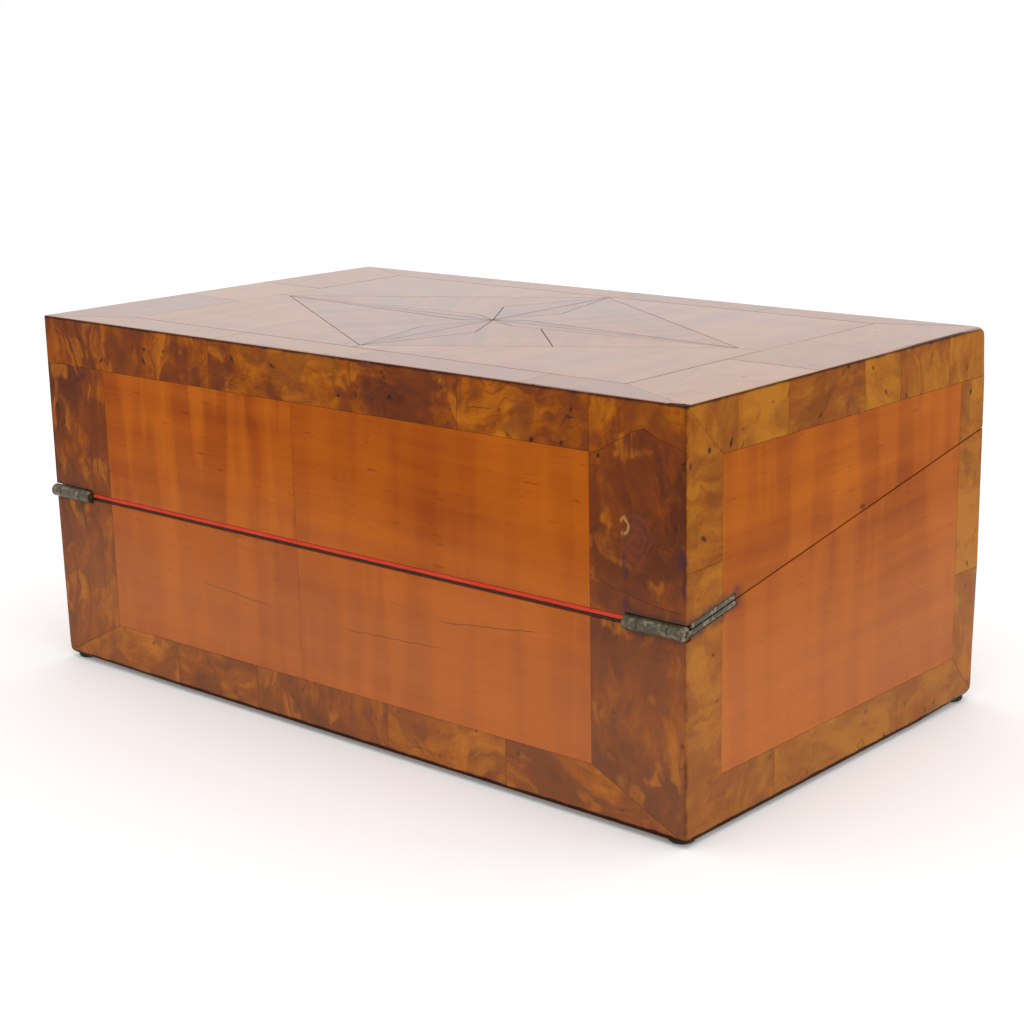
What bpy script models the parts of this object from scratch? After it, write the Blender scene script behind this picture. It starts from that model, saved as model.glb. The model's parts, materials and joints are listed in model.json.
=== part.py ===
"""Veneered travelling writing box with a slanting lid joint, in metres, +Z up.

The origin is at the bottom centre of the whole object. The hinge side faces -Y, the lock
side faces +Y and the length runs along X. The lid turns back by half a turn and lies on its
top, so that the two inner flaps make one long writing slope.
"""

from math import atan, cos, pi, sin

import bmesh
import bpy
from mathutils import Matrix, Vector

# Overall sizes
BODY_LENGTH = 0.350
BODY_DEPTH = 0.201
BODY_HEIGHT = 0.155
FOOT_HEIGHT = 0.002

# Boards, veneers and clearances
WALL = 0.009
BOARD = 0.008
VENEER = 0.001
GAP = 0.0003
SEAM = 0.0005

# Slanting joint between base and lid
SPLIT_SLOPE = 0.183
SPLIT_ABOVE_AXIS = 0.0004

# Corner hinges, each with a base leaf, a lid leaf and a pin
BARREL_RADIUS = 0.0027
BARREL_LENGTH = 0.026
KNUCKLE_END = 0.0065
AXIS_OUT = 0.0003
PIN_RADIUS = 0.0011
PIN_CLEARANCE = 0.0001
LEAF_THICKNESS = 0.0019
LEAF_WIDTH = 0.0095
LEAF_LENGTH = 0.0254
LEAF_REACH = 0.029
SCREW_HEAD_RADIUS = 0.0026
SCREW_HEAD_HEIGHT = 0.0015
SCREW_SHANK_RADIUS = 0.0011
SCREW_LENGTH = 0.008
SCREW_SLOT = 0.0007

# Cloth over the flaps and folded in the joint
CLOTH = 0.0008
FOLD_HALF_HEIGHT = 0.0010

# Flaps
FLAP_BOARD = 0.006
FLAP_SIDE_GAP = 0.001
FLAP_SUNK = 0.0005
LEDGE = 0.005

# Pen and ink compartments along the tall back wall
COMPARTMENT_DEPTH = 0.038
DIVIDER = 0.005
INK_LENGTH = 0.036
INK_DIVIDER = 0.003
COMPARTMENT_FLOOR = 0.004
COMPARTMENT_FLOOR_BELOW_RIM = 0.047
PEN_TRAY_HEIGHT = 0.016
PEN_SCOOP_RADIUS = 0.009
PEN_SCOOP_DEPTH = 0.007
PEN_TRAY_END = 0.006

# Inkwells
BOTTLE_SIDE = 0.028
BOTTLE_HEIGHT = 0.028
BOTTLE_GLASS = 0.003
NECK_RADIUS = 0.008
NECK_HEIGHT = 0.005
CAP_RADIUS = 0.0100
CAP_HEIGHT = 0.009
CAP_WALL = 0.0012

# Box lock in the middle of the back wall
LOCK_LENGTH = 0.036
LOCK_THICKNESS = 0.0064
LOCK_HEIGHT = 0.022
LOCK_PLATE = 0.0012
LOCK_TOP_PLATE = 0.0020
BOLT_LENGTH = 0.0105
BOLT_HEIGHT = 0.003
BOLT_THICKNESS = 0.0018
BOLT_TRAVEL = 0.004
HOOK_THICKNESS = 0.0015
HOOK_DEPTH = 0.008
HOOK_NECK = 0.003
HOOK_FOOT = 0.0025
STRIKER_LENGTH = 0.034
STRIKER_WIDTH = 0.006
STRIKER_THICKNESS = 0.0015
ESCUTCHEON_WIDTH = 0.016
ESCUTCHEON_HEIGHT = 0.021
ESCUTCHEON_PROUD = 0.0004
KEYHOLE_RADIUS = 0.0020
KEYHOLE_SLOT = 0.0018
KEYHOLE_LENGTH = 0.0060
KEYHOLE_BELOW_RIM = 0.0150

# Round feet
FOOT_RADIUS = 0.005
FOOT_INSET = 0.0068

# Rounded lower edges
CORE_ROUNDING = 0.003

# Derived places
HALF_LENGTH = BODY_LENGTH / 2
BODY_Y = (BARREL_RADIUS + AXIS_OUT - ESCUTCHEON_PROUD) / 2
FRONT = BODY_Y - BODY_DEPTH / 2
BACK = BODY_Y + BODY_DEPTH / 2
BOTTOM = FOOT_HEIGHT
TOP = FOOT_HEIGHT + BODY_HEIGHT
SKIN = VENEER + GAP
AXIS_Y = FRONT - AXIS_OUT
AXIS_Z = TOP / 2
SPLIT_FRONT = AXIS_Z + SPLIT_ABOVE_AXIS
SLOPE = atan(SPLIT_SLOPE)
CORE_X = HALF_LENGTH - SKIN
CORE_FRONT = FRONT + SKIN
CORE_BACK = BACK - SKIN
INNER_X = CORE_X - WALL
INNER_FRONT = CORE_FRONT + WALL
INNER_BACK = CORE_BACK - WALL
FLOOR = BOTTOM + BOARD
CEILING = TOP - SKIN - BOARD
FOLD_HALF_LENGTH = HALF_LENGTH - BARREL_LENGTH - 2 * GAP
BIG = 2 * BODY_LENGTH

COLLECTION = "writing_slope"
homes = {}


def slope_point(x, along, above):
    """A point by its distance along the joint from the hinge face and its height above it."""
    y = FRONT + along * cos(SLOPE) - above * sin(SLOPE)
    z = SPLIT_FRONT + along * sin(SLOPE) + above * cos(SLOPE)
    return Vector((x, y, z))


def split_height(y):
    return SPLIT_FRONT + SPLIT_SLOPE * (y - FRONT)


def clear_scene():
    for old in list(bpy.data.objects):
        bpy.data.objects.remove(old, do_unlink=True)
    for name in (COLLECTION, "cutters"):
        if name not in bpy.data.collections:
            bpy.context.scene.collection.children.link(bpy.data.collections.new(name))


def make_material(name, colour, roughness, metallic=0.0, alpha=1.0):
    material = bpy.data.materials.new(name)
    material.use_nodes = True
    shader = material.node_tree.nodes["Principled BSDF"]
    shader.inputs["Base Color"].default_value = (*colour, 1.0)
    shader.inputs["Roughness"].default_value = roughness
    shader.inputs["Metallic"].default_value = metallic
    shader.inputs["Alpha"].default_value = alpha
    return material


def make_home(name, place, parent=None):
    """An empty on a joint's axis, which the pieces of one moving body hang from."""
    empty = bpy.data.objects.new(name, None)
    bpy.data.collections[COLLECTION].objects.link(empty)
    homes[name] = Vector(place)
    empty.location = homes[name]
    if parent:
        empty.parent = bpy.data.objects[parent]
        empty.location -= homes[parent]


def add_object(name, mesh_maker, place, home=None, material=None, tilt=0.0):
    """Fills a new object by mesh_maker(bm); without a home it is a cutter."""
    mesh = bpy.data.meshes.new(name)
    bm = bmesh.new()
    mesh_maker(bm)
    bm.to_mesh(mesh)
    bm.free()
    obj = bpy.data.objects.new(name, mesh)
    obj.location = place
    obj.rotation_euler.x = tilt
    if home:
        bpy.data.collections[COLLECTION].objects.link(obj)
        obj.parent = bpy.data.objects[home]
        obj.location -= homes[home]
        own = material.copy()
        own.name = name + "_finish"
        mesh.materials.append(own)
    else:
        bpy.data.collections["cutters"].objects.link(obj)
        obj.hide_render = True
        obj.display_type = "WIRE"
    return obj


def cube_maker(size):
    def fill(bm):
        bmesh.ops.create_cube(bm, size=1.0, matrix=Matrix.Diagonal((*size, 1.0)))

    return fill


def block(name, low, high, home=None, material=None):
    low, high = Vector(low), Vector(high)
    return add_object(name, cube_maker(high - low), (low + high) / 2, home, material)


def slope_block(name, x_span, along_span, above_span, home=None, material=None):
    """A block that lies in the slanting joint's own directions."""
    spans = (x_span, along_span, above_span)
    size = [abs(high - low) for low, high in spans]
    middle = [(low + high) / 2 for low, high in spans]
    return add_object(name, cube_maker(size), slope_point(*middle), home, material, SLOPE)


def cylinder(name, radius, length, centre, axis="Z", home=None, material=None, sides=20):
    turn = {"X": Matrix.Rotation(pi / 2, 4, "Y"), "Y": Matrix.Rotation(pi / 2, 4, "X"), "Z": Matrix()}

    def fill(bm):
        bmesh.ops.create_cone(
            bm, cap_ends=True, segments=sides, radius1=radius, radius2=radius, depth=length,
            matrix=turn[axis],
        )

    obj = add_object(name, fill, centre, home, material)
    obj.data.shade_smooth()
    obj.data.set_sharp_from_angle(angle=pi / 5)
    return obj


def turned(name, profile, place, home=None, material=None, tilt=0.0, sides=16):
    """A turned piece from its outer profile, given as radius and height from top to bottom."""

    def fill(bm):
        verts = [bm.verts.new((radius, 0.0, height)) for radius, height in profile]
        for first, second in zip(verts, verts[1:]):
            bm.edges.new((first, second))

    obj = add_object(name, fill, place, home, material, tilt)
    screw = obj.modifiers.new("turn", "SCREW")
    screw.steps = screw.render_steps = sides
    screw.use_merge_vertices = True
    screw.merge_threshold = 0.00001
    return obj


def boolean(target, tool, operation="DIFFERENCE"):
    modifier = target.modifiers.new(operation.lower() + "_" + tool.name, "BOOLEAN")
    modifier.operation = operation
    modifier.solver = "EXACT"
    modifier.object = tool


def round_lower_edges(obj, radius):
    """Rounds the long lower edges of a board in its mesh."""
    bm = bmesh.new()
    bm.from_mesh(obj.data)
    lowest = min(v.co.z for v in bm.verts)
    edges = [e for e in bm.edges if all(abs(v.co.z - lowest) < GAP for v in e.verts)]
    bmesh.ops.bevel(bm, geom=edges, offset=radius, segments=3, profile=0.5, affect="EDGES")
    bm.to_mesh(obj.data)
    bm.free()


def body_sides(body):
    """-1 for the base, which lies below the joint, and 1 for the lid above it."""
    return -1 if body == "base" else 1


def make_split_cutters():
    over = slope_block("cutter_above_joint", (-BIG, BIG), (-BIG, BIG), (-SEAM / 2, BIG))
    under = slope_block("cutter_below_joint", (-BIG, BIG), (-BIG, BIG), (-BIG, SEAM / 2))
    return {"base": over, "lid": under}


def make_fold_cutters():
    """The front rims stand back by the folded cloth between the two hinges."""
    half = HALF_LENGTH - BARREL_LENGTH + 2 * GAP
    x_span = (-half, half)
    along = (-WALL, SKIN + WALL + 3 * GAP)
    deep = FOLD_HALF_HEIGHT + GAP
    return {
        "base": slope_block("cutter_fold_base", x_span, along, (-deep, 3 * deep)),
        "lid": slope_block("cutter_fold_lid", x_span, along, (-3 * deep, deep)),
    }


def plate_maker(outline, thickness):
    """A flat plate from its outline, as thick above its own origin as below."""

    def fill(bm):
        curve = bpy.data.curves.new("outline", "CURVE")
        curve.dimensions = "2D"
        curve.fill_mode = "BOTH"
        curve.extrude = thickness / 2
        spline = curve.splines.new("POLY")
        spline.points.add(len(outline) - 1)
        for point, (x, y) in zip(spline.points, outline):
            point.co = (x, y, 0.0, 1.0)
        spline.use_cyclic_u = True
        shape = bpy.data.objects.new("outline", curve)
        bpy.data.collections["cutters"].objects.link(shape)
        graph = bpy.context.evaluated_depsgraph_get()
        mesh = bpy.data.meshes.new_from_object(shape.evaluated_get(graph))
        bm.from_mesh(mesh)
        bmesh.ops.remove_doubles(bm, verts=bm.verts, dist=0.00001)
        bmesh.ops.recalc_face_normals(bm, faces=bm.faces)
        bpy.data.objects.remove(shape)
        bpy.data.meshes.remove(mesh)

    return fill


def leaf_plate(name, side, body, grow, home=None, material=None):
    """An L-shaped hinge leaf; as a cutter it is larger by grow and open to the outside."""
    sign = body_sides(body)
    out = WALL if grow else 0.0
    deep = SEAM / 2 + LEAF_THICKNESS + grow
    shallow = -WALL if grow else SEAM / 2
    outer = side * (HALF_LENGTH + out)
    elbow = side * (HALF_LENGTH - LEAF_WIDTH - grow)
    inner = side * (HALF_LENGTH - LEAF_LENGTH - grow)
    width, reach = LEAF_WIDTH + grow, LEAF_REACH + grow
    outline = [
        (outer, -out), (outer, reach), (elbow, reach), (elbow, width), (inner, width), (inner, -out),
    ]
    place = slope_point(0, 0, sign * (deep + shallow) / 2)
    return add_object(name, plate_maker(outline, deep - shallow), place, home, material, SLOPE)


def knuckle_spans(side, body):
    """X spans of one body's knuckles: the base has the two outer ones, the lid the middle."""
    outer = HALF_LENGTH
    first = outer - KNUCKLE_END
    last = outer - BARREL_LENGTH + KNUCKLE_END
    inner = outer - BARREL_LENGTH
    if body == "base":
        spans = ((first, outer), (inner, last))
    else:
        spans = ((last + GAP, first - GAP),)
    return [tuple(side * x for x in span) for span in spans]


def span_cylinder(name, radius, span, sides=20):
    centre = ((span[0] + span[1]) / 2, AXIS_Y, AXIS_Z)
    return cylinder(name, radius, abs(span[1] - span[0]), centre, "X", sides=sides)


def make_hinge(side, side_name, brass, cuts):
    """One corner hinge. It returns the cutters that make room for it in each body."""
    bore = span_cylinder(
        f"cutter_bore_{side_name}",
        PIN_RADIUS + PIN_CLEARANCE,
        (side * (HALF_LENGTH - BARREL_LENGTH - WALL), side * (HALF_LENGTH + WALL)),
    )
    for body in ("base", "lid"):
        home = "base_frame" if body == "base" else "lid_hinge"
        other = "lid" if body == "base" else "base"
        leaf = leaf_plate(f"{side_name}_hinge_{body}_leaf", side, body, 0.0, home, brass)
        for number, span in enumerate(knuckle_spans(side, other)):
            low, high = sorted(span)
            room = span_cylinder(
                f"cutter_room_{side_name}_{body}_{number}",
                BARREL_RADIUS + GAP,
                (low - GAP, high + GAP),
            )
            boolean(leaf, room)
        for number, span in enumerate(knuckle_spans(side, body)):
            knuckle = span_cylinder(
                f"cutter_knuckle_{side_name}_{body}_{number}", BARREL_RADIUS, span
            )
            boolean(leaf, knuckle, "UNION")
        boolean(leaf, bore)
        room = leaf_plate(f"cutter_leaf_{side_name}_{body}", side, body, GAP)
        groove = span_cylinder(
            f"cutter_groove_{side_name}_{body}",
            BARREL_RADIUS + GAP,
            (side * (HALF_LENGTH - BARREL_LENGTH - GAP), side * (HALF_LENGTH + WALL)),
        )
        boolean(room, groove, "UNION")
        cuts[body, side] = room
        make_leaf_screws(leaf, side, side_name, body, home, brass, cuts)
    cylinder(
        f"{side_name}_hinge_pin",
        PIN_RADIUS,
        BARREL_LENGTH - 2 * GAP,
        (side * (HALF_LENGTH - BARREL_LENGTH / 2), AXIS_Y, AXIS_Z),
        "X",
        "base_frame",
        brass,
        sides=16,
    )


def screw_profile(grow):
    """A countersunk screw's profile; as a cutter it is larger by grow and open at the top."""
    head, shank = SCREW_HEAD_RADIUS + grow, SCREW_SHANK_RADIUS + grow
    rim = [(0.0, WALL), (head, WALL)] if grow else [(0.0, 0.0)]
    return rim + [
        (head, 0.0),
        (shank, -SCREW_HEAD_HEIGHT),
        (shank, -SCREW_LENGTH + SCREW_SHANK_RADIUS),
        (0.0, -SCREW_LENGTH - grow),
    ]


def make_leaf_screws(leaf, side, side_name, body, home, brass, cuts):
    """A countersunk screw in each arm of a leaf, at right angles to the joint."""
    sign = body_sides(body)
    middle = SKIN + WALL / 2
    spots = {
        "across": (side * (HALF_LENGTH - LEAF_LENGTH + LEAF_WIDTH / 2), middle),
        "back": (side * (HALF_LENGTH - middle), LEAF_REACH - LEAF_WIDTH / 2),
    }
    tilt = SLOPE if body == "base" else SLOPE + pi
    for arm, (x, along) in spots.items():
        head = slope_point(x, along, sign * (SEAM / 2 + GAP / 2))
        name = f"{side_name}_{body}_leaf_screw_{arm}"
        screw = turned(name, screw_profile(0.0), head, home, brass, tilt, sides=12)
        size = (SCREW_SLOT, 3 * SCREW_HEAD_RADIUS, 2 * SCREW_SLOT)
        boolean(screw, add_object("cutter_slot_" + name, cube_maker(size), head, tilt=tilt))
        hole = turned("cutter_hole_" + name, screw_profile(GAP), head, tilt=tilt, sides=12)
        boolean(leaf, hole)
        cuts[body, side, arm] = hole


def make_carcass(body, wood, splits, folds, cuts):
    """Four walls and the flat board of one half, butted with a glue gap."""
    home = "base_frame" if body == "base" else "lid_hinge"
    if body == "base":
        board = block(
            "base_bottom_board",
            (-CORE_X, CORE_FRONT, BOTTOM),
            (CORE_X, CORE_BACK, FLOOR),
            home,
            wood,
        )
        round_lower_edges(board, CORE_ROUNDING)
        low, high = FLOOR + GAP, TOP
    else:
        block(
            "lid_top_board",
            (-CORE_X, CORE_FRONT, CEILING),
            (CORE_X, CORE_BACK, TOP - SKIN),
            home,
            wood,
        )
        low, high = BOTTOM, CEILING - GAP
    front = block(
        f"{body}_front_wall", (-CORE_X, CORE_FRONT, low), (CORE_X, INNER_FRONT, high), home, wood
    )
    back = block(
        f"{body}_back_wall", (-CORE_X, INNER_BACK, low), (CORE_X, CORE_BACK, high), home, wood
    )
    ends = {}
    for side, side_name in ((-1, "left"), (1, "right")):
        x_span = sorted((side * INNER_X, side * CORE_X))
        ends[side] = block(
            f"{body}_{side_name}_end",
            (x_span[0], INNER_FRONT + GAP, low),
            (x_span[1], INNER_BACK - GAP, high),
            home,
            wood,
        )
    for wall in (front, back, *ends.values()):
        boolean(wall, splits[body])
    boolean(front, folds[body])
    for side in (-1, 1):
        boolean(front, cuts[body, side])
        boolean(front, cuts[body, side, "across"])
        boolean(ends[side], cuts[body, side])
        boolean(ends[side], cuts[body, side, "back"])
    return back


def make_veneers(body, veneer, splits, folds, cuts):
    """Veneer sheets on the outside of one half."""
    home = "base_frame" if body == "base" else "lid_hinge"
    low, high = (BOTTOM, TOP) if body == "base" else (BOTTOM, TOP - SKIN)
    front = block(
        f"{body}_front_veneer",
        (-HALF_LENGTH, FRONT, low),
        (HALF_LENGTH, FRONT + VENEER, high),
        home,
        veneer,
    )
    back = block(
        f"{body}_back_veneer",
        (-HALF_LENGTH, BACK - VENEER, low),
        (HALF_LENGTH, BACK, high),
        home,
        veneer,
    )
    ends = {}
    for side, side_name in ((-1, "left"), (1, "right")):
        x_span = sorted((side * (HALF_LENGTH - VENEER), side * HALF_LENGTH))
        ends[side] = block(
            f"{body}_{side_name}_veneer",
            (x_span[0], FRONT + SKIN, low),
            (x_span[1], BACK - SKIN, high),
            home,
            veneer,
        )
    for sheet in (front, back, *ends.values()):
        boolean(sheet, splits[body])
    boolean(front, folds[body])
    for side in (-1, 1):
        boolean(front, cuts[body, side])
        boolean(ends[side], cuts[body, side])
    if body == "lid":
        block(
            "lid_top_veneer",
            (-HALF_LENGTH, FRONT, TOP - VENEER),
            (HALF_LENGTH, BACK, TOP),
            home,
            veneer,
        )
    return back


def flap_near(sign):
    """Where a flap starts along the joint; the lid's one leans towards its front wall."""
    lean = (FLAP_SUNK + CLOTH + GAP + FLAP_BOARD) * SPLIT_SLOPE if sign > 0 else 0.0
    return (SKIN + WALL + FLAP_SIDE_GAP) / cos(SLOPE) + lean


def make_flap(name, sign, home, far, wood, cloth):
    """A flap board with its cloth cover, flush with the rims, sign below or above the joint."""
    half = INNER_X - FLAP_SIDE_GAP
    near = flap_near(sign)
    outer = sign * FLAP_SUNK
    under = outer + sign * CLOTH
    board = under + sign * GAP
    slope_block(name + "_cloth", (-half, half), (near, far), (outer, under), home, cloth)
    deep = board + sign * FLAP_BOARD
    slope_block(name + "_board", (-half, half), (near, far), (board, deep), home, wood)
    return deep


def make_ledges(body, sign, deep, far, wood):
    """Strips on the end walls that carry a flap."""
    home = "base_frame" if body == "base" else "lid_hinge"
    near = (INNER_FRONT + GAP - FRONT) / cos(SLOPE) + abs(deep) * SPLIT_SLOPE
    top = deep + sign * GAP
    for side, side_name in ((-1, "left"), (1, "right")):
        slope_block(
            f"{body}_{side_name}_flap_ledge",
            (side * (INNER_X - GAP), side * (INNER_X - GAP - LEDGE)),
            (near + LEDGE, far),
            (top, top + sign * LEDGE),
            home,
            wood,
        )


def make_fold(cloth):
    slope_block(
        "hinge_fold_cloth",
        (-FOLD_HALF_LENGTH, FOLD_HALF_LENGTH),
        (GAP, SKIN + WALL),
        (-FOLD_HALF_HEIGHT, FOLD_HALF_HEIGHT),
        "base_frame",
        cloth,
    )


def make_compartments(wood, splits):
    """The pen and ink compartments behind the upper flap; returns the shelf's height."""
    divider_back = INNER_BACK - COMPARTMENT_DEPTH
    divider_front = divider_back - DIVIDER
    shelf = split_height(INNER_BACK) - COMPARTMENT_FLOOR_BELOW_RIM
    partition = block(
        "well_divider",
        (-INNER_X + GAP, divider_front, FLOOR + GAP),
        (INNER_X - GAP, divider_back, TOP),
        "base_frame",
        wood,
    )
    boolean(partition, splits["base"])
    block(
        "compartment_floor",
        (-INNER_X + GAP, divider_back + GAP, shelf - COMPARTMENT_FLOOR),
        (INNER_X - GAP, INNER_BACK - GAP, shelf),
        "base_frame",
        wood,
    )
    for side, side_name in ((-1, "left"), (1, "right")):
        x_span = sorted(side * (INNER_X - INK_LENGTH - grow) for grow in (0.0, INK_DIVIDER))
        ink_divider = block(
            f"{side_name}_ink_divider",
            (x_span[0], divider_back + GAP, shelf + GAP),
            (x_span[1], INNER_BACK - GAP, TOP),
            "base_frame",
            wood,
        )
        boolean(ink_divider, splits["base"])
    return divider_front, divider_back, shelf


def make_pen_tray(divider_back, shelf, wood):
    """A tray with two round-bottomed grooves for pens."""
    half = INNER_X - INK_LENGTH - INK_DIVIDER - GAP
    low = (-half, divider_back + GAP, shelf + GAP)
    high = (half, INNER_BACK - GAP, shelf + GAP + PEN_TRAY_HEIGHT)
    tray = block("pen_tray", low, high, "base_frame", wood)
    middle = (low[1] + high[1]) / 2
    for number, side in enumerate((-1, 1)):
        y = middle + side * COMPARTMENT_DEPTH / 4
        z = high[2] - PEN_SCOOP_DEPTH + PEN_SCOOP_RADIUS
        scoop = cylinder(
            f"cutter_pen_scoop_{number}",
            PEN_SCOOP_RADIUS,
            2 * (half - PEN_TRAY_END),
            (0, y, z),
            "X",
            sides=24,
        )
        boolean(tray, scoop)


def make_inkwell(side, side_name, divider_back, shelf, glass, brass):
    """A square glass bottle with a turned brass cap."""
    x = side * (INNER_X - INK_LENGTH / 2)
    y = (divider_back + INNER_BACK) / 2
    base = shelf + GAP
    half = BOTTLE_SIDE / 2
    bottle = block(
        f"{side_name}_inkwell",
        (x - half, y - half, base),
        (x + half, y + half, base + BOTTLE_HEIGHT),
        "base_frame",
        glass,
    )
    bevel = bottle.modifiers.new("rounded_corners", "BEVEL")
    bevel.width = BOTTLE_GLASS
    bevel.segments = 2
    neck_top = base + BOTTLE_HEIGHT + NECK_HEIGHT
    neck = cylinder(
        f"cutter_neck_{side_name}", NECK_RADIUS, 2 * NECK_HEIGHT, (x, y, neck_top - NECK_HEIGHT)
    )
    boolean(bottle, neck, "UNION")
    hollow_low = base + BOTTLE_GLASS
    hollow = cylinder(
        f"cutter_hollow_{side_name}",
        NECK_RADIUS - BOTTLE_GLASS / 2,
        neck_top - hollow_low + NECK_HEIGHT,
        (x, y, (neck_top + NECK_HEIGHT + hollow_low) / 2),
    )
    boolean(bottle, hollow)
    cap_low = base + BOTTLE_HEIGHT + GAP
    inner = NECK_RADIUS + GAP
    roof = neck_top + GAP - cap_low
    top = roof + CAP_HEIGHT - NECK_HEIGHT
    profile = [
        (0.0, top),
        (CAP_RADIUS - CAP_WALL, top),
        (CAP_RADIUS, top - CAP_WALL),
        (CAP_RADIUS, 0.0),
        (inner, 0.0),
        (inner, roof),
        (0.0, roof),
    ]
    turned(f"{side_name}_inkwell_cap", profile, (x, y, cap_low), "base_frame", brass, sides=24)


def make_lock(base_wall, base_sheet, lid_wall, brass, steel, splits):
    """A box lock with a sliding bolt, and the striker hook that the bolt slides under."""
    middle = CORE_BACK - WALL / 2
    rim = split_height(middle)
    lip = SEAM / 2
    half = LOCK_THICKNESS / 2
    case_low = (-LOCK_LENGTH / 2, middle - half, rim - LOCK_HEIGHT)
    case_high = (LOCK_LENGTH / 2, middle + half, rim + WALL)
    case = block("lock_case", case_low, case_high, "base_frame", brass)
    boolean(case, splits["base"])
    pocket = block(
        "cutter_lock_pocket",
        [value - GAP for value in case_low],
        [value + GAP for value in case_high],
    )
    boolean(base_wall, pocket)

    cavity = block(
        "cutter_lock_cavity",
        (case_low[0] + LOCK_PLATE, case_low[1] + LOCK_PLATE, case_low[2] + LOCK_PLATE),
        (case_high[0] - LOCK_PLATE, case_high[1] - LOCK_PLATE, rim - LOCK_TOP_PLATE),
    )
    boolean(case, cavity)

    # The hook swings out on an arc, so its slot is wider towards the hinge side.
    hook_y = (middle + half - LOCK_PLATE - 2 * GAP - HOOK_THICKNESS, middle + half - LOCK_PLATE - 2 * GAP)
    neck_x = (BOLT_TRAVEL / 4, BOLT_TRAVEL / 4 + HOOK_NECK)
    foot_x = (neck_x[0] - BOLT_TRAVEL, neck_x[1])
    swing = HOOK_DEPTH * SPLIT_SLOPE
    slot = block(
        "cutter_lock_slot",
        (foot_x[0] - 2 * GAP, hook_y[0] - swing, rim - 2 * LOCK_TOP_PLATE),
        (foot_x[1] + 2 * GAP, hook_y[1] + GAP, rim + WALL),
    )
    boolean(case, slot)

    keyhole_z = rim - KEYHOLE_BELOW_RIM
    across = (middle, BACK + WALL)
    keyhole = cylinder(
        "cutter_keyhole",
        KEYHOLE_RADIUS,
        across[1] - across[0],
        (0, sum(across) / 2, keyhole_z),
        "Y",
        sides=16,
    )
    key_slot = block(
        "cutter_keyhole_slot",
        (-KEYHOLE_SLOT / 2, across[0], keyhole_z - KEYHOLE_LENGTH),
        (KEYHOLE_SLOT / 2, across[1], keyhole_z),
    )
    boolean(keyhole, key_slot, "UNION")
    for piece in (case, base_wall, base_sheet):
        boolean(piece, keyhole)

    plate = add_object(
        "escutcheon",
        oval_maker(ESCUTCHEON_WIDTH, ESCUTCHEON_HEIGHT, VENEER + ESCUTCHEON_PROUD),
        (0, BACK - VENEER, keyhole_z - KEYHOLE_LENGTH / 3),
        "base_frame",
        brass,
    )
    boolean(plate, keyhole)
    room = add_object(
        "cutter_escutcheon",
        oval_maker(ESCUTCHEON_WIDTH + 2 * GAP, ESCUTCHEON_HEIGHT + 2 * GAP, 4 * VENEER),
        (0, BACK - 2 * VENEER + GAP, keyhole_z - KEYHOLE_LENGTH / 3),
    )
    boolean(base_sheet, room)

    bolt_x = foot_x[0] - 2 * GAP - BOLT_LENGTH
    bolt_top = rim - LOCK_TOP_PLATE - GAP
    bolt_y = sum(hook_y) / 2
    make_home("lock_bolt_slide", (bolt_x, bolt_y, bolt_top - BOLT_HEIGHT / 2), "base_frame")
    bolt_half = min(BOLT_THICKNESS / 2, HOOK_THICKNESS / 2 + GAP)
    block(
        "lock_bolt",
        (bolt_x, bolt_y - bolt_half, bolt_top - BOLT_HEIGHT),
        (bolt_x + BOLT_LENGTH, bolt_y + bolt_half, bolt_top),
        "lock_bolt_slide",
        steel,
    )
    make_striker(rim, lip, hook_y, neck_x, foot_x, bolt_top, lid_wall, brass, splits)


def make_striker(rim, lip, hook_y, neck_x, foot_x, bolt_top, lid_wall, brass, splits):
    """A plate let into the lid's back rim with a hook that hangs into the lock."""
    middle = CORE_BACK - WALL / 2
    along = (middle - FRONT) / cos(SLOPE)
    along_span = (along - STRIKER_WIDTH / 2, along + STRIKER_WIDTH / 2)
    half = STRIKER_LENGTH / 2
    striker = slope_block(
        "lock_striker",
        (-half, half),
        along_span,
        (lip, lip + STRIKER_THICKNESS),
        "lid_hinge",
        brass,
    )
    foot_top = bolt_top - BOLT_HEIGHT - GAP
    neck = block(
        "cutter_hook_neck",
        (neck_x[0], hook_y[0], foot_top - HOOK_FOOT),
        (neck_x[1], hook_y[1], rim + lip + STRIKER_THICKNESS / 2),
    )
    foot = block(
        "cutter_hook_foot",
        (foot_x[0], hook_y[0], foot_top - HOOK_FOOT),
        (foot_x[1], hook_y[1], foot_top),
    )
    boolean(striker, neck, "UNION")
    boolean(striker, foot, "UNION")
    room = slope_block(
        "cutter_striker_room",
        (-half - GAP, half + GAP),
        (along_span[0] - GAP, along_span[1] + GAP),
        (-STRIKER_THICKNESS, lip + STRIKER_THICKNESS + GAP),
    )
    boolean(lid_wall, room)


def oval_maker(width, height, thickness):
    """An upright oval plate that stands out along +Y from its own origin."""

    def fill(bm):
        bmesh.ops.create_cone(
            bm, cap_ends=True, segments=24, radius1=0.5, radius2=0.5, depth=1.0,
            matrix=Matrix.Rotation(-pi / 2, 4, "X"),
        )
        bmesh.ops.scale(bm, vec=(width, thickness, height), verts=bm.verts)
        bmesh.ops.translate(bm, vec=(0, thickness / 2, 0), verts=bm.verts)

    return fill


def make_feet(rubber):
    for side, side_name in ((-1, "left"), (1, "right")):
        for y, row in ((FRONT + FOOT_INSET, "front"), (BACK - FOOT_INSET, "back")):
            height = FOOT_HEIGHT - GAP
            x = side * (HALF_LENGTH - FOOT_INSET)
            name = f"{side_name}_{row}_foot"
            cylinder(name, FOOT_RADIUS, height, (x, y, height / 2), "Z", "base_frame", rubber)


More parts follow.
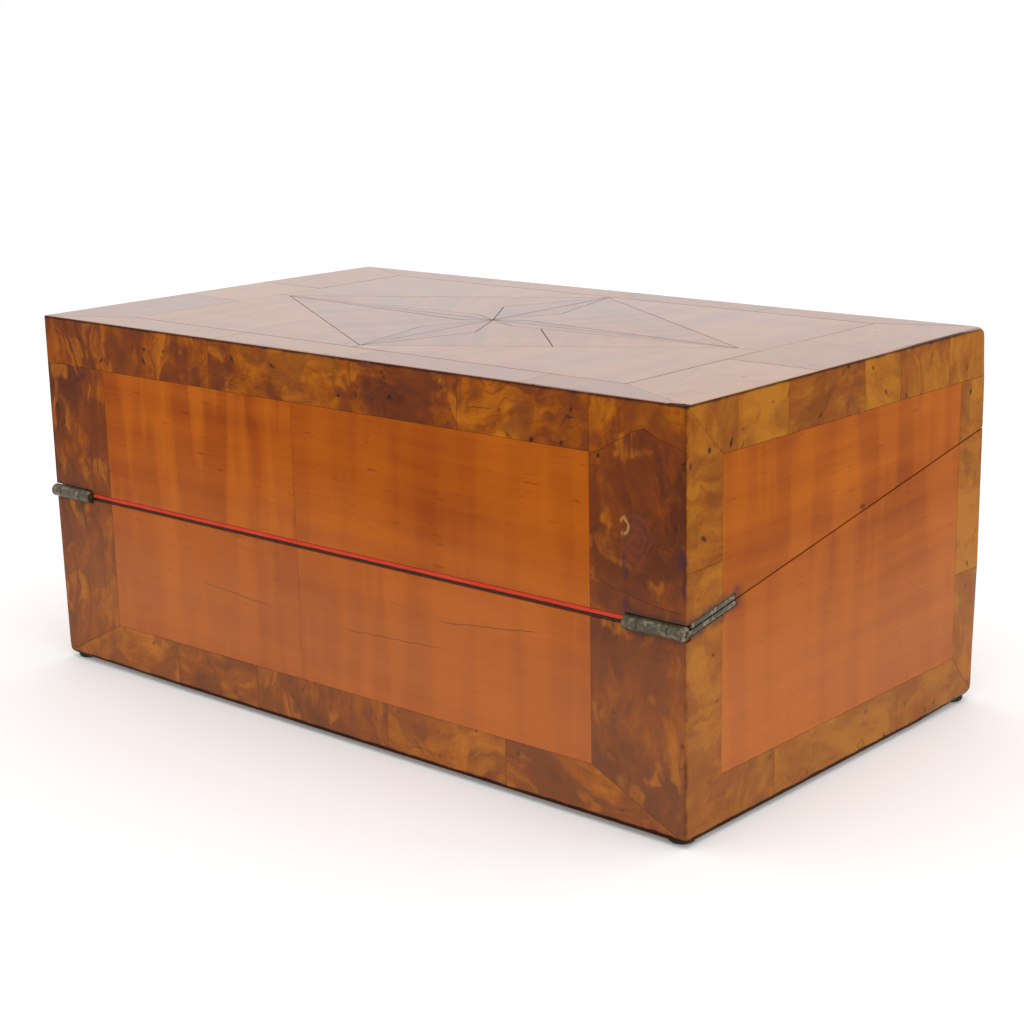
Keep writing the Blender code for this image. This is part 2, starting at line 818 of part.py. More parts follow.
def main():
    clear_scene()
    veneer = make_material("veneer", (0.42, 0.15, 0.04), 0.25)
    core = make_material("core_wood", (0.36, 0.19, 0.09), 0.55)
    fitting = make_material("fitting_wood", (0.22, 0.08, 0.035), 0.4)
    cloth = make_material("red_cloth", (0.50, 0.04, 0.03), 0.9)
    brass = make_material("tarnished_brass", (0.14, 0.11, 0.06), 0.5, 0.8)
    steel = make_material("lock_steel", (0.30, 0.29, 0.27), 0.4, 0.9)
    glass = make_material("ink_glass", (0.55, 0.62, 0.58), 0.08, 0.0, 0.5)
    rubber = make_material("foot_pad", (0.03, 0.025, 0.02), 0.8)

    make_home("base_frame", (0, 0, 0))
    make_home("lid_hinge", (0, AXIS_Y, AXIS_Z), "base_frame")
    make_home("upper_flap_hinge", slope_point(0, flap_near(-1), -FLAP_SUNK), "base_frame")
    make_home("lower_flap_hinge", slope_point(0, flap_near(1), FLAP_SUNK), "lid_hinge")

    splits = make_split_cutters()
    folds = make_fold_cutters()
    cuts = {}
    for side, side_name in ((-1, "left"), (1, "right")):
        make_hinge(side, side_name, brass, cuts)
    back_walls = {body: make_carcass(body, core, splits, folds, cuts) for body in ("base", "lid")}
    base_back_sheet = make_veneers("base", veneer, splits, folds, cuts)
    make_veneers("lid", veneer, splits, folds, cuts)
    make_fold(cloth)

    divider_front, divider_back, shelf = make_compartments(fitting, splits)
    make_pen_tray(divider_back, shelf, fitting)
    for side, side_name in ((-1, "left"), (1, "right")):
        make_inkwell(side, side_name, divider_back, shelf, glass, brass)

    upper_far = (divider_front - FLAP_SIDE_GAP - FRONT) / cos(SLOPE) - FLAP_BOARD * SPLIT_SLOPE
    lower_far = (INNER_BACK - FLAP_SIDE_GAP - FRONT) / cos(SLOPE)
    deep = make_flap("upper_flap", -1, "upper_flap_hinge", upper_far, core, cloth)
    make_ledges("base", -1, deep, upper_far - LEDGE, fitting)
    deep = make_flap("lower_flap", 1, "lower_flap_hinge", lower_far, core, cloth)
    make_ledges("lid", 1, deep, lower_far - LEDGE, fitting)

    make_lock(back_walls["base"], base_back_sheet, back_walls["lid"], brass, steel, splits)
    make_feet(rubber)


main()
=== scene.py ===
"""Looks of an old veneered writing box: burr bands round straight-grained panels, a star on the
lid, corner hinges of dull brass and a fold of red cloth in the slanting joint."""

import json
import math
import random

import bmesh
import bpy
from mathutils import Matrix, Vector, noise


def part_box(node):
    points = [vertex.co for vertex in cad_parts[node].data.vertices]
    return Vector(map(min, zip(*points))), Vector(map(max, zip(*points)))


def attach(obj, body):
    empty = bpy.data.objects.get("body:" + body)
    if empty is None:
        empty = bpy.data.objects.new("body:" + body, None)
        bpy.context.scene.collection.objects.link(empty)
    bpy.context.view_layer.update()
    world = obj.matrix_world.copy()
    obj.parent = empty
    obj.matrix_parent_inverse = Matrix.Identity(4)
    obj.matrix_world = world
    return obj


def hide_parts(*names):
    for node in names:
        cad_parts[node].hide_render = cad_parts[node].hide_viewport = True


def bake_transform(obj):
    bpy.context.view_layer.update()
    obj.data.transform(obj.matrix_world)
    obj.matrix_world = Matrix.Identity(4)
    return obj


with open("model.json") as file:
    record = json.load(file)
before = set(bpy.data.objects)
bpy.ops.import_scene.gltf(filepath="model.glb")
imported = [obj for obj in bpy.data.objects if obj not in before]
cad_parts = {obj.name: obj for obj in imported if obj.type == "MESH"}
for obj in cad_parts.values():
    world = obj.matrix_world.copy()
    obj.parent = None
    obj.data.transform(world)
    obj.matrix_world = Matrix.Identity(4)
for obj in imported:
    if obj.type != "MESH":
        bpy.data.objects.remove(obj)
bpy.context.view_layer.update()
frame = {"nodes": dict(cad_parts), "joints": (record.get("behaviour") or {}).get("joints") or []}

MM = 0.001


def mm(*values):
    return tuple(value * MM for value in values)


# The box, from the frame
JOINTS = {joint["name"]: joint for joint in frame["joints"]}
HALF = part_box("base_front_veneer")[1][0]
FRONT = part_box("base_front_veneer")[0][1]
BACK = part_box("base_back_veneer")[1][1]
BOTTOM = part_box("base_front_veneer")[0][2]
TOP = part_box("lid_top_veneer")[1][2]
AXIS = Vector(JOINTS["lid_hinge"]["pos_m"])
DEPTH = BACK - FRONT
HEIGHT = TOP - BOTTOM
MIDDLE_Y = (FRONT + BACK) / 2

# The slanting joint
SPLIT_SLOPE = 0.183
SPLIT_ABOVE_AXIS = 0.4 * MM
SLOPE = math.atan(SPLIT_SLOPE)
SPLIT_FRONT = AXIS.z + SPLIT_ABOVE_AXIS
SEAM = 0.5 * MM

# Veneer
VENEER = 1.25 * MM
JOINT = 0.05 * MM
EDGE = 0.07 * MM
LIFTED_JOINT = 0.20 * MM
SKIN = 1.3 * MM
WALL = 9 * MM

# Corner hinges
BARREL_RADIUS = 2.7 * MM
BARREL_LENGTH = 26 * MM
KNUCKLE_END = 6.5 * MM
LEAF_WIDTH = 9.5 * MM
LEAF_LENGTH = 25.4 * MM
LEAF_REACH = 29 * MM
LEAF_THICKNESS = 1.9 * MM
SCREW_HEAD_RADIUS = 2.5 * MM
GAP = 0.3 * MM

# Folded cloth
FOLD_HALF_HEIGHT = 1.08 * MM
FOLD_LAYER = 1.0 * MM
FOLD_LIFT = 0.15 * MM
FOLD_ROOM = {"base": 1.8 * MM, "lid": 1.3 * MM}
FLAP_SUNK = 0.5 * MM

# Directions along X of the two ends, and from the joint into the two bodies
ENDS = {"left": -1, "right": 1}
INTO = {"base": -1, "lid": 1}


def slope_point(x, along, above):
    """A point by its distance along the joint from the hinge face and its height above it."""
    y = FRONT + along * math.cos(SLOPE) - above * math.sin(SLOPE)
    z = SPLIT_FRONT + along * math.sin(SLOPE) + above * math.cos(SLOPE)
    return Vector((x, y, z))


def split_height(y):
    return SPLIT_FRONT + SPLIT_SLOPE * (y - FRONT)


# ---- shader helpers


class Value:
    """A number that varies over a surface and takes part in Python arithmetic."""

    def __init__(self, finish, socket):
        self.finish, self.socket = finish, socket

    def math(self, operation, *others, swap=False):
        terms = [self, *others]
        if swap:
            terms.reverse()
        return self.finish.node("Math", {"operation": operation}, *terms).out()

    def __add__(self, other):
        return self.math("ADD", other)

    def __radd__(self, other):
        return self.math("ADD", other)

    def __sub__(self, other):
        return self.math("SUBTRACT", other)

    def __rsub__(self, other):
        return self.math("SUBTRACT", other, swap=True)

    def __mul__(self, other):
        return self.math("MULTIPLY", other)

    def __rmul__(self, other):
        return self.math("MULTIPLY", other)

    def __truediv__(self, other):
        return self.math("DIVIDE", other)

    def __rtruediv__(self, other):
        return self.math("DIVIDE", other, swap=True)

    def __pow__(self, other):
        return self.math("POWER", other)

    def absolute(self):
        return self.math("ABSOLUTE")

    def sine(self):
        return self.math("SINE")

    def over(self, low, high):
        """0 below low and 1 above high, with a smooth step between; falls if low > high."""
        ends = (low, high, 0.0, 1.0) if low < high else (high, low, 1.0, 0.0)
        settings = {"interpolation_type": "SMOOTHSTEP"}
        return self.finish.node("MapRange", settings, self, *ends).out()

    def ramp(self, *stops):
        """A colour from stops of position and colour."""
        return self.finish.node("ValToRGB", {"stops": stops}, self).out()


class Made:
    """A node that was made, whose outputs are asked for by name."""

    def __init__(self, finish, node):
        self.finish, self.node = finish, node

    def out(self, name=None):
        sockets = [s for s in self.node.outputs if s.enabled]
        chosen = next((s for s in sockets if s.name == name), sockets[0])
        return Value(self.finish, chosen)


class Finish:
    """One material, whose nodes are made by node()."""

    def __init__(self, name):
        self.material = bpy.data.materials.new(name)
        self.material.use_nodes = True
        self.tree = self.material.node_tree
        self.tree.nodes.clear()

    def node(self, kind, settings=None, *inputs, **named):
        node = self.tree.nodes.new("ShaderNode" + kind)
        for key, value in (settings or {}).items():
            if key == "stops":
                self.set_stops(node.color_ramp, value)
            else:
                setattr(node, key, value)
        usable = [s for s in node.inputs if s.enabled]
        for socket, value in zip(usable, inputs):
            self.feed(socket, value)
        for name, value in named.items():
            wanted = name.replace("_", " ")
            self.feed(next(s for s in usable if s.name == wanted), value)
        return Made(self, node)

    def set_stops(self, ramp, stops):
        while len(ramp.elements) < len(stops):
            ramp.elements.new(1.0)
        for element, (position, colour) in zip(ramp.elements, stops):
            element.position = position
            element.color = (*colour, 1.0)

    def feed(self, socket, value):
        if value is None:
            return
        if isinstance(value, Value):
            self.tree.links.new(value.socket, socket)
        elif socket.type == "RGBA":
            socket.default_value = (*value, 1.0)
        else:
            socket.default_value = value

    def place(self):
        """Object coordinates, in metres."""
        return self.node("TexCoord").out("Object")

    def grain(self):
        """The leaf's own flat coordinates, in metres, with the grain along the first."""
        return self.node("UVMap", {"uv_map": "grain"}).out()

    def attribute(self, name):
        return self.node("Attribute", {"attribute_name": name}).out("Fac")

    def stretched(self, place, scale):
        return self.node("VectorMath", {"operation": "MULTIPLY"}, place, scale).out()

    def moved(self, place, offset):
        return self.node("VectorMath", {"operation": "ADD"}, place, offset).out()

    def parts(self, place):
        node = self.node("SeparateXYZ", None, place)
        return [node.out(axis) for axis in "XYZ"]

    def noise(self, place, scale, detail=3.0, roughness=0.5):
        inputs = {"Vector": place, "Scale": scale, "Detail": detail, "Roughness": roughness}
        return self.node("TexNoise", None, **inputs).out("Fac")

    def streaks(self, place, scale, detail=3.0, roughness=0.5):
        """Noise with a scale of its own in each direction."""
        return self.noise(self.stretched(place, scale), 1.0, detail, roughness)

    def warp(self, place, scale, amount):
        """Coordinates shifted by a slow noise, for swirling figure."""
        swirl = self.node("TexNoise", None, Vector=place, Scale=scale, Detail=2.0).out("Color")
        centred = self.moved(swirl, (-0.5, -0.5, -0.5))
        return self.moved(place, self.stretched(centred, (amount, amount, amount)))

    def cells(self, place, scale):
        """Distance to the nearest of scattered points, and a random number for each."""
        node = self.node("TexVoronoi", None, Vector=place, Scale=scale)
        chance = self.parts(node.out("Color"))[0]
        return node.out("Distance"), chance

    def mix(self, factor, first, second):
        node = self.node("Mix", {"data_type": "RGBA"})
        sockets = {s.identifier: s for s in node.node.inputs}
        self.feed(sockets["Factor_Float"], factor)
        self.feed(sockets["A_Color"], first)
        self.feed(sockets["B_Color"], second)
        result = next(s for s in node.node.outputs if s.identifier == "Result_Color")
        return Value(self, result)

    def bump(self, height, strength, distance):
        return self.node("Bump", None, Strength=strength, Distance=distance, Height=height).out()

    def surface(self, colour, roughness, normal=None, **constants):
        """Ends the material in one Principled shader; constants are its fixed sockets."""
        shader = self.node("BsdfPrincipled", None, Base_Color=colour, Roughness=roughness)
        sockets = {s.name: s for s in shader.node.inputs}
        if normal is not None:
            self.feed(sockets["Normal"], normal)
        for name, value in constants.items():
            self.feed(sockets[name.replace("_", " ")], value)
        self.node("OutputMaterial", None, shader.out())
        return self.material


# ---- wood finishes

SIDE_POLISH = {"IOR": 1.11}
TOP_POLISH = {"IOR": 1.60, "Coat_Weight": 0.3, "Coat_Roughness": 0.12, "Coat_IOR": 1.5}
EDGE_WEAR = 1.6 * MM


def edge_nearness(finish, place):
    """1 on the box's outer edges, fading to 0 a little way in from them."""
    x, y, z = finish.parts(place)
    near = []
    middle_z = (BOTTOM + TOP) / 2
    for value, centre, half in ((x, 0.0, HALF), (y, MIDDLE_Y, DEPTH / 2), (z, middle_z, HEIGHT / 2)):
        near.append((value - centre).absolute().over(half - EDGE_WEAR, half - 0.2 * MM))
    return near[0] * near[1] + near[1] * near[2] + near[0] * near[2]


def grime_and_bottom_shade(finish, colour, place, amount):
    """Patchy dark grime on the outer edges, a dark line under the lid's rim, and a bottom edge line of
    grime and painted shade.
    """
    coarse = finish.noise(place, 90.0, 4.0, 0.65)
    worn = edge_nearness(finish, place) * coarse.over(0.42, 0.70)
    z = finish.parts(place)[2]
    wander = (coarse - 0.5) * (1.6 * MM)
    rim = (z + wander).over(TOP - 1.5 * MM, TOP - 0.5 * MM)
    # Painted shade, partly grime: a dark line along the bottom edge, standing in for the shadowed gap
    # under the box.
    foot = (z + wander).over(BOTTOM + 2.1 * MM, BOTTOM + 1.4 * MM)
    colour = finish.mix((rim * 0.8 + foot * 0.95) * amount, colour, (0.018, 0.007, 0.005))
    return finish.mix(worn * 0.7 * amount, colour, (0.035, 0.014, 0.008))


def faded_below(finish, colour, place, pale, amount):
    """The lower part of an upright face, paler and browner than the lid."""
    height = finish.parts(place)[2] + (finish.noise(place, 12.0, 2.0) - 0.5) * (30 * MM)
    return finish.mix(height.over(BOTTOM + 118 * MM, BOTTOM + 35 * MM) * amount, colour, pale)


def hinge_stained(finish, colour, place):
    """Blue-grey tarnish soaked into the wood along the hinge leaves and barrels."""
    x, y, z = finish.parts(place)
    above = (z - (y - FRONT) * SPLIT_SLOPE - SPLIT_FRONT).absolute()
    reach = above + (finish.noise(place, 130.0, 3.0, 0.6) - 0.5) * (9 * MM)
    near = reach.over(5.0 * MM, 2.2 * MM)
    ends = x.absolute().over(HALF - BARREL_LENGTH - 3 * MM, HALF - BARREL_LENGTH + 2 * MM)
    along = y.over(FRONT + LEAF_REACH + 6 * MM, FRONT + LEAF_REACH)
    return finish.mix(near * ends * along * 0.6, colour, (0.050, 0.034, 0.036))


def oval(finish, place, centre, half_x, half_z):
    """Distance from the middle of an upright oval on the hinge face, 1 at its outline."""
    x, y, z = finish.parts(place)
    inside = y.over(FRONT + 3 * MM, FRONT + 2 * MM)
    across = (x - centre[0]) * (1 / half_x)
    up = (z - centre[1]) * (1 / half_z)
    return (across * across + up * up) ** 0.5 + (1 - inside) * 9.0


def marked_band(finish, colour, place):
    """A ringed burr eye and a few ink spots on the dark band above the right hinge."""
    rough_place = finish.warp(place, 150.0, 0.006)
    eye = oval(finish, rough_place, (0.1535, 0.1085), 6.5 * MM, 9.5 * MM)
    rings = (eye * 16.0).sine() * 0.5 + 0.5
    colour = finish.mix(eye.over(1.25, 0.75) * 0.55, colour, (0.115, 0.030, 0.022))
    colour = finish.mix(eye.over(1.7, 0.9) * rings * 0.18, colour, (0.24, 0.075, 0.018))
    heart = oval(finish, rough_place, (0.1490, 0.1125), 1.4 * MM, 2.8 * MM)
    broken = finish.noise(place, 400.0, 2.0).over(0.40, 0.60)
    heart = heart.over(1.5, 1.1) * heart.over(0.5, 0.8) * broken
    colour = finish.mix(heart * 0.7, colour, (0.50, 0.25, 0.06))
    for centre, half_x, half_z in (
        ((0.1487, 0.0975), 1.3 * MM, 4.5 * MM), ((0.1492, 0.0850), 1.9 * MM, 3.4 * MM),
        ((0.1735, 0.1040), 1.5 * MM, 4.2 * MM), ((0.1742, 0.0935), 0.9 * MM, 3.0 * MM),
    ):
        spot = oval(finish, rough_place, centre, half_x, half_z)
        colour = finish.mix(spot.over(1.4, 0.3) * 0.55, colour, (0.038, 0.018, 0.042))
    return colour


def crack(x, height, start, end, half_width, wobble):
    """A drying crack between two points of an upright face, tapering at its ends."""
    run = end[0] - start[0]
    rise = (end[1] - start[1]) / run
    share = (x - start[0]) / run
    line = height - start[1] - (x - start[0]) * rise + wobble
    inside = (1 - (share * 2 - 1).absolute()).over(0.0, 0.35)
    return line.absolute().over(half_width, half_width * 0.3) * inside


def panel_veneer(name, light, dark, stripes, cracks=(), weathered_and_shaded=True):
    """Straight-grained veneer with fine fibres and broad shimmering stripes across them."""
    finish = Finish(name)
    grain, place = finish.grain(), finish.place()
    tone = finish.attribute("tone")
    wavy = finish.warp(grain, 14.0, 0.006)
    fibres = finish.streaks(wavy, (28.0, 900.0, 1.0), 3.0, 0.6)
    bands = finish.streaks(wavy, (3.5, 75.0, 1.0), 3.0, 0.55)
    blocks = finish.streaks(grain, (70.0, 7.0, 1.0), 2.0, 0.5)
    shimmer = blocks.over(0.44, 0.52) * 0.6 + blocks.over(0.54, 0.58) * 0.4
    clouds = finish.noise(place, 16.0, 2.0, 0.5)
    depth = (
        0.5
        + (bands - 0.5) * 1.2
        + (fibres - 0.5) * 0.35
        + (shimmer - 0.5) * stripes
        + (clouds - 0.5) * 1.1
        + (tone - 0.5)
    )
    middle = [(a + b) / 2 for a, b in zip(light, dark)]
    colour = depth.ramp((0.05, dark), (0.45, middle), (0.95, light))
    flecks = finish.streaks(grain, (90.0, 700.0, 1.0), 1.0).over(0.68, 0.76)
    colour = finish.mix(flecks * 0.45, colour, [c * 0.45 for c in dark])
    spot, chance = finish.cells(finish.stretched(wavy, (20.0, 34.0, 1.0)), 1.0)
    knots = spot.over(0.05, 0.015) * chance.over(0.80, 0.82)
    colour = finish.mix(knots * 0.8, colour, (0.06, 0.018, 0.008))
    height = fibres * 0.5 + bands * 0.3 - knots
    if cracks:
        x, y, z = finish.parts(place)
        wobble = (finish.noise(place, 220.0, 2.0) - 0.5) * (1.6 * MM)
        opened = 0.0
        for start, end in cracks:
            opened = crack(x, z, start, end, 0.30 * MM, wobble) + opened
        opened = opened * y.over(FRONT + 3 * MM, FRONT + 2 * MM)
        colour = finish.mix(opened * 0.85, colour, (0.030, 0.010, 0.006))
        height = height - opened
    if weathered_and_shaded:
        colour = faded_below(finish, colour, place, (0.50, 0.180, 0.075), 0.42)
        # Hinge stains, then edge grime with painted shade along the bottom edge.
        colour = grime_and_bottom_shade(finish, hinge_stained(finish, colour, place), place, 0.9)
    rough = 0.26 + (clouds - 0.5) * 0.12 + (fibres - 0.5) * 0.08
    relief, polish = (0.25, SIDE_POLISH) if weathered_and_shaded else (0.10, TOP_POLISH)
    return finish.surface(colour, rough, finish.bump(height, relief, 0.05 * MM), **polish)


def burr_veneer(name, gold, amber, brown, purple, contrast=1.0, weathered_and_shaded=True):
    """Burr with licks of pale wood on dark, swirling growth lines, pips and small ringed knots."""
    finish = Finish(name)
    grain, place = finish.grain(), finish.place()
    tone = finish.attribute("tone")
    swirled = finish.warp(finish.warp(grain, 24.0, 0.024), 85.0, 0.010)
    patches = finish.noise(finish.moved(swirled, (0.7, 0.2, 0.0)), 22.0, 2.0, 0.5)
    licks = finish.streaks(swirled, (62.0, 88.0, 1.0), 2.5, 0.5)
    growth = (licks * 110.0).sine() * 0.5 + 0.5
    fibres = finish.streaks(swirled, (160.0, 420.0, 1.0), 4.0, 0.6)
    curls = finish.streaks(swirled, (34.0, 230.0, 1.0), 3.0, 0.55)
    mottle = finish.noise(finish.moved(swirled, (0.1, 0.6, 0.0)), 150.0, 4.0, 0.6)
    level = (
        0.5
        + (patches - 0.5) * 1.15 * contrast
        + (tone - 0.5) * 1.2
        + (licks.over(0.42, 0.58) - 0.5) * 0.17 * contrast
        + (curls - 0.5) * 0.55 * contrast
        + (mottle - 0.5) * 0.40 * contrast
        + (growth - 0.5) * 0.06
        + (fibres - 0.5) * 0.22
    )
    colour = level.ramp((0.10, purple), (0.36, brown), (0.55, amber), (0.85, gold))
    islands = finish.noise(finish.warp(finish.moved(grain, (0.9, 0.4, 0.0)), 40.0, 0.010), 40.0, 1.0)
    dark_ground = islands.over(0.525, 0.575) * (mottle * 1.1) * contrast
    colour = finish.mix(dark_ground, colour, [(a + b) / 2 for a, b in zip(purple, brown)])
    flares = finish.noise(finish.warp(finish.moved(swirled, (0.2, 0.8, 0.0)), 90.0, 0.010), 52.0, 2.0)
    bright_ground = flares.over(0.545, 0.625) * curls.over(0.36, 0.62) * 0.65 * contrast
    colour = finish.mix(bright_ground, colour, gold)
    hair = finish.noise(finish.moved(swirled, (0.5, 0.1, 0.0)), 32.0, 1.0)
    hair_cracks = (hair - 0.47).absolute().over(0.0035, 0.0015) * licks.over(0.56, 0.60)
    colour = finish.mix(hair_cracks * 0.7 * contrast, colour, (0.035, 0.013, 0.008))
    pores = finish.streaks(grain, (420.0, 900.0, 1.0), 1.0).over(0.64, 0.74)
    colour = finish.mix(pores * 0.28 * contrast, colour, [c * 0.4 for c in brown])
    spot, chance = finish.cells(swirled, 170.0)
    cluster = finish.noise(grain, 48.0, 2.0).over(0.44, 0.54)
    pips = spot.over(0.24, 0.12) * chance.over(0.62, 0.65) * cluster
    colour = finish.mix(pips * 0.85, colour, (0.030, 0.012, 0.008))
    eye, eye_chance = finish.cells(finish.moved(swirled, (0.31, 0.17, 0.0)), 36.0)
    chosen = eye_chance.over(0.68, 0.70)
    eyes = eye.over(0.052, 0.030) * chosen
    rings = eye.over(0.065, 0.085) * eye.over(0.125, 0.10) * chosen
    colour = finish.mix(rings * 0.55, colour, [c * 0.5 for c in brown])
    colour = finish.mix(eyes * 0.75, colour, (0.045, 0.024, 0.010))
    spill = finish.noise(finish.moved(place, (0.4, 0.9, 0.1)), 60.0, 3.0, 0.6).over(0.66, 0.74)
    colour = finish.mix(spill * 0.45, colour, (0.050, 0.026, 0.045))
    if weathered_and_shaded:
        colour = faded_below(finish, colour, place, (0.46, 0.215, 0.110), 0.20)
        colour = marked_band(finish, colour, place)
        # Hinge stains, then edge grime with painted shade along the bottom edge.
        colour = grime_and_bottom_shade(finish, hinge_stained(finish, colour, place), place, 1.0)
    height = fibres * 0.3 + growth * 0.1 - pips - eyes
    rough = 0.27 + (fibres - 0.5) * 0.12 + (patches - 0.5) * 0.10
    relief, polish = (0.3, SIDE_POLISH) if weathered_and_shaded else (0.08, TOP_POLISH)
    return finish.surface(colour, rough, finish.bump(height, relief, 0.06 * MM), **polish)


def plain_wood(name, light, dark, along, roughness, coat=0.0):
    """Solid wood whose grain runs along X or Y, with painted shade next to the hinge face."""
    finish = Finish(name)
    place = finish.place()
    scale = (9.0, 260.0, 260.0) if along == "X" else (260.0, 9.0, 260.0)
    slow = (2.2, 45.0, 45.0) if along == "X" else (45.0, 2.2, 45.0)
    wavy = finish.warp(place, 9.0, 0.008)
    fibres = finish.streaks(wavy, scale, 4.0, 0.6)
    rings = finish.streaks(wavy, slow, 3.0, 0.5)
    colour = (rings * 0.65 + fibres * 0.35).ramp((0.32, dark), (0.68, light))
    stains = finish.noise(place, 26.0, 5.0, 0.6).over(0.60, 0.80)
    colour = finish.mix(stains * 0.4, colour, [c * 0.35 for c in dark])
    # Painted shade: darker next to the hinge face, where the recessed core beside the cloth fold lies in
    # shade.
    joint_recess_shade = finish.parts(place)[1].over(FRONT + 3.4 * MM, FRONT + 2.4 * MM)
    colour = finish.mix(joint_recess_shade * 0.92, colour, (0.016, 0.010, 0.007))
    rough = roughness + (fibres - 0.5) * 0.15
    normal = finish.bump(fibres, 0.35, 0.08 * MM)
    return finish.surface(colour, rough, normal, Coat_Weight=coat, Coat_Roughness=0.2)


def red_cloth(name):
    """Napped woollen cloth, a little faded, with a fine plain weave under the nap."""
    finish = Finish(name)
    place = finish.place()
    warp = (finish.parts(place)[0] * 6500.0).sine()
    weft = (finish.parts(place)[1] * 6500.0).sine()
    nap = finish.noise(place, 1500.0, 3.0, 0.7)
    faded = finish.noise(place, 38.0, 4.0, 0.6)
    level = 0.5 + (faded - 0.5) * 0.55 + (nap - 0.5) * 0.5 + warp * weft * 0.06
    colour = level.ramp(
        (0.15, (0.34, 0.022, 0.010)), (0.5, (0.56, 0.048, 0.020)), (0.9, (0.70, 0.11, 0.05))
    )
    height = warp * weft * 0.25 + nap
    normal = finish.bump(height, 0.5, 0.08 * MM)
    rough = 0.88 + (nap - 0.5) * 0.1
    return finish.surface(
        colour, rough, normal, Sheen_Weight=0.12, Sheen_Roughness=0.4,
        Sheen_Tint=(1.0, 0.45, 0.35), IOR=1.2,
    )


def tarnished(name, bright, dull, dark, metal=0.75, wear=0.5, roughness=0.42):
    """Metal under an uneven brown-green skin that is rubbed through in flecks."""
    finish = Finish(name)
    place = finish.place()
    skin = finish.noise(finish.warp(place, 160.0, 0.003), 300.0, 5.0, 0.65)
    grime = finish.noise(finish.moved(place, (0.2, 0.1, 0.3)), 520.0, 4.0, 0.7)
    rubbed = skin.over(1.0 - wear, 1.12 - wear)
    colour = grime.ramp((0.35, dark), (0.62, dull))
    colour = finish.mix(rubbed * 0.85, colour, bright)
    rough = roughness + (grime - 0.5) * 0.3 - rubbed * 0.12
    metallic = 0.25 + rubbed * (metal - 0.25)
    normal = finish.bump(skin + grime * 0.5, 0.35, 0.08 * MM)
    material = finish.surface(colour, rough, normal)
    shader = next(n for n in finish.tree.nodes if n.type == "BSDF_PRINCIPLED")
    finish.feed(shader.inputs["Metallic"], metallic)
    return material


def glass(name):
    """Old moulded glass, very slightly green."""
    finish = Finish(name)
    ripple = finish.noise(finish.place(), 120.0, 2.0)
    return finish.surface(
        (0.93, 0.98, 0.95), 0.04 + ripple * 0.03, finish.bump(ripple, 0.15, 0.3 * MM),
        Transmission_Weight=1.0, IOR=1.5,
    )


def ink(name):
    finish = Finish(name)
    level = finish.noise(finish.place(), 90.0, 3.0)
    colour = level.ramp((0.3, (0.004, 0.006, 0.020)), (0.7, (0.010, 0.016, 0.050)))
    return finish.surface(colour, 0.12 + level * 0.1)


def floor_finish():
    finish = Finish("studio_floor")
    tone = finish.noise(finish.place(), 3.0, 2.0)
    colour = tone.ramp((0.0, (0.96, 0.96, 0.96)), (1.0, (0.98, 0.98, 0.98)))
    return finish.surface(
        colour, 0.8, IOR=1.05, Emission_Color=(1.0, 1.0, 1.0), Emission_Strength=0.09
    )


PANEL_LIGHT, PANEL_DARK = (0.43, 0.100, 0.005), (0.25, 0.043, 0.003)
GOLD, AMBER = (0.43, 0.130, 0.007), (0.27, 0.066, 0.004)
BROWN, PURPLE = (0.175, 0.039, 0.008), (0.095, 0.024, 0.010)
TAN_GOLD, TAN_AMBER = (0.40, 0.145, 0.009), (0.28, 0.078, 0.005)
TAN_BROWN, TAN_PURPLE = (0.20, 0.050, 0.006), (0.11, 0.026, 0.007)
TOP_GOLD, TOP_AMBER = (0.40, 0.155, 0.040), (0.31, 0.105, 0.026)
TOP_BROWN, TOP_PURPLE = (0.27, 0.080, 0.028), (0.19, 0.055, 0.024)
CARCASS_TONES = ((0.40, 0.195, 0.080), (0.24, 0.100, 0.036))
FITTING_TONES = ((0.20, 0.065, 0.028), (0.10, 0.030, 0.014))
BRASS_TONES = ((0.24, 0.20, 0.12), (0.085, 0.068, 0.036), (0.034, 0.026, 0.016))
CAP_TONES = ((0.62, 0.45, 0.20), (0.32, 0.22, 0.10), (0.12, 0.08, 0.04))
STEEL_TONES = ((0.42, 0.41, 0.38), (0.20, 0.19, 0.17), (0.07, 0.06, 0.05))

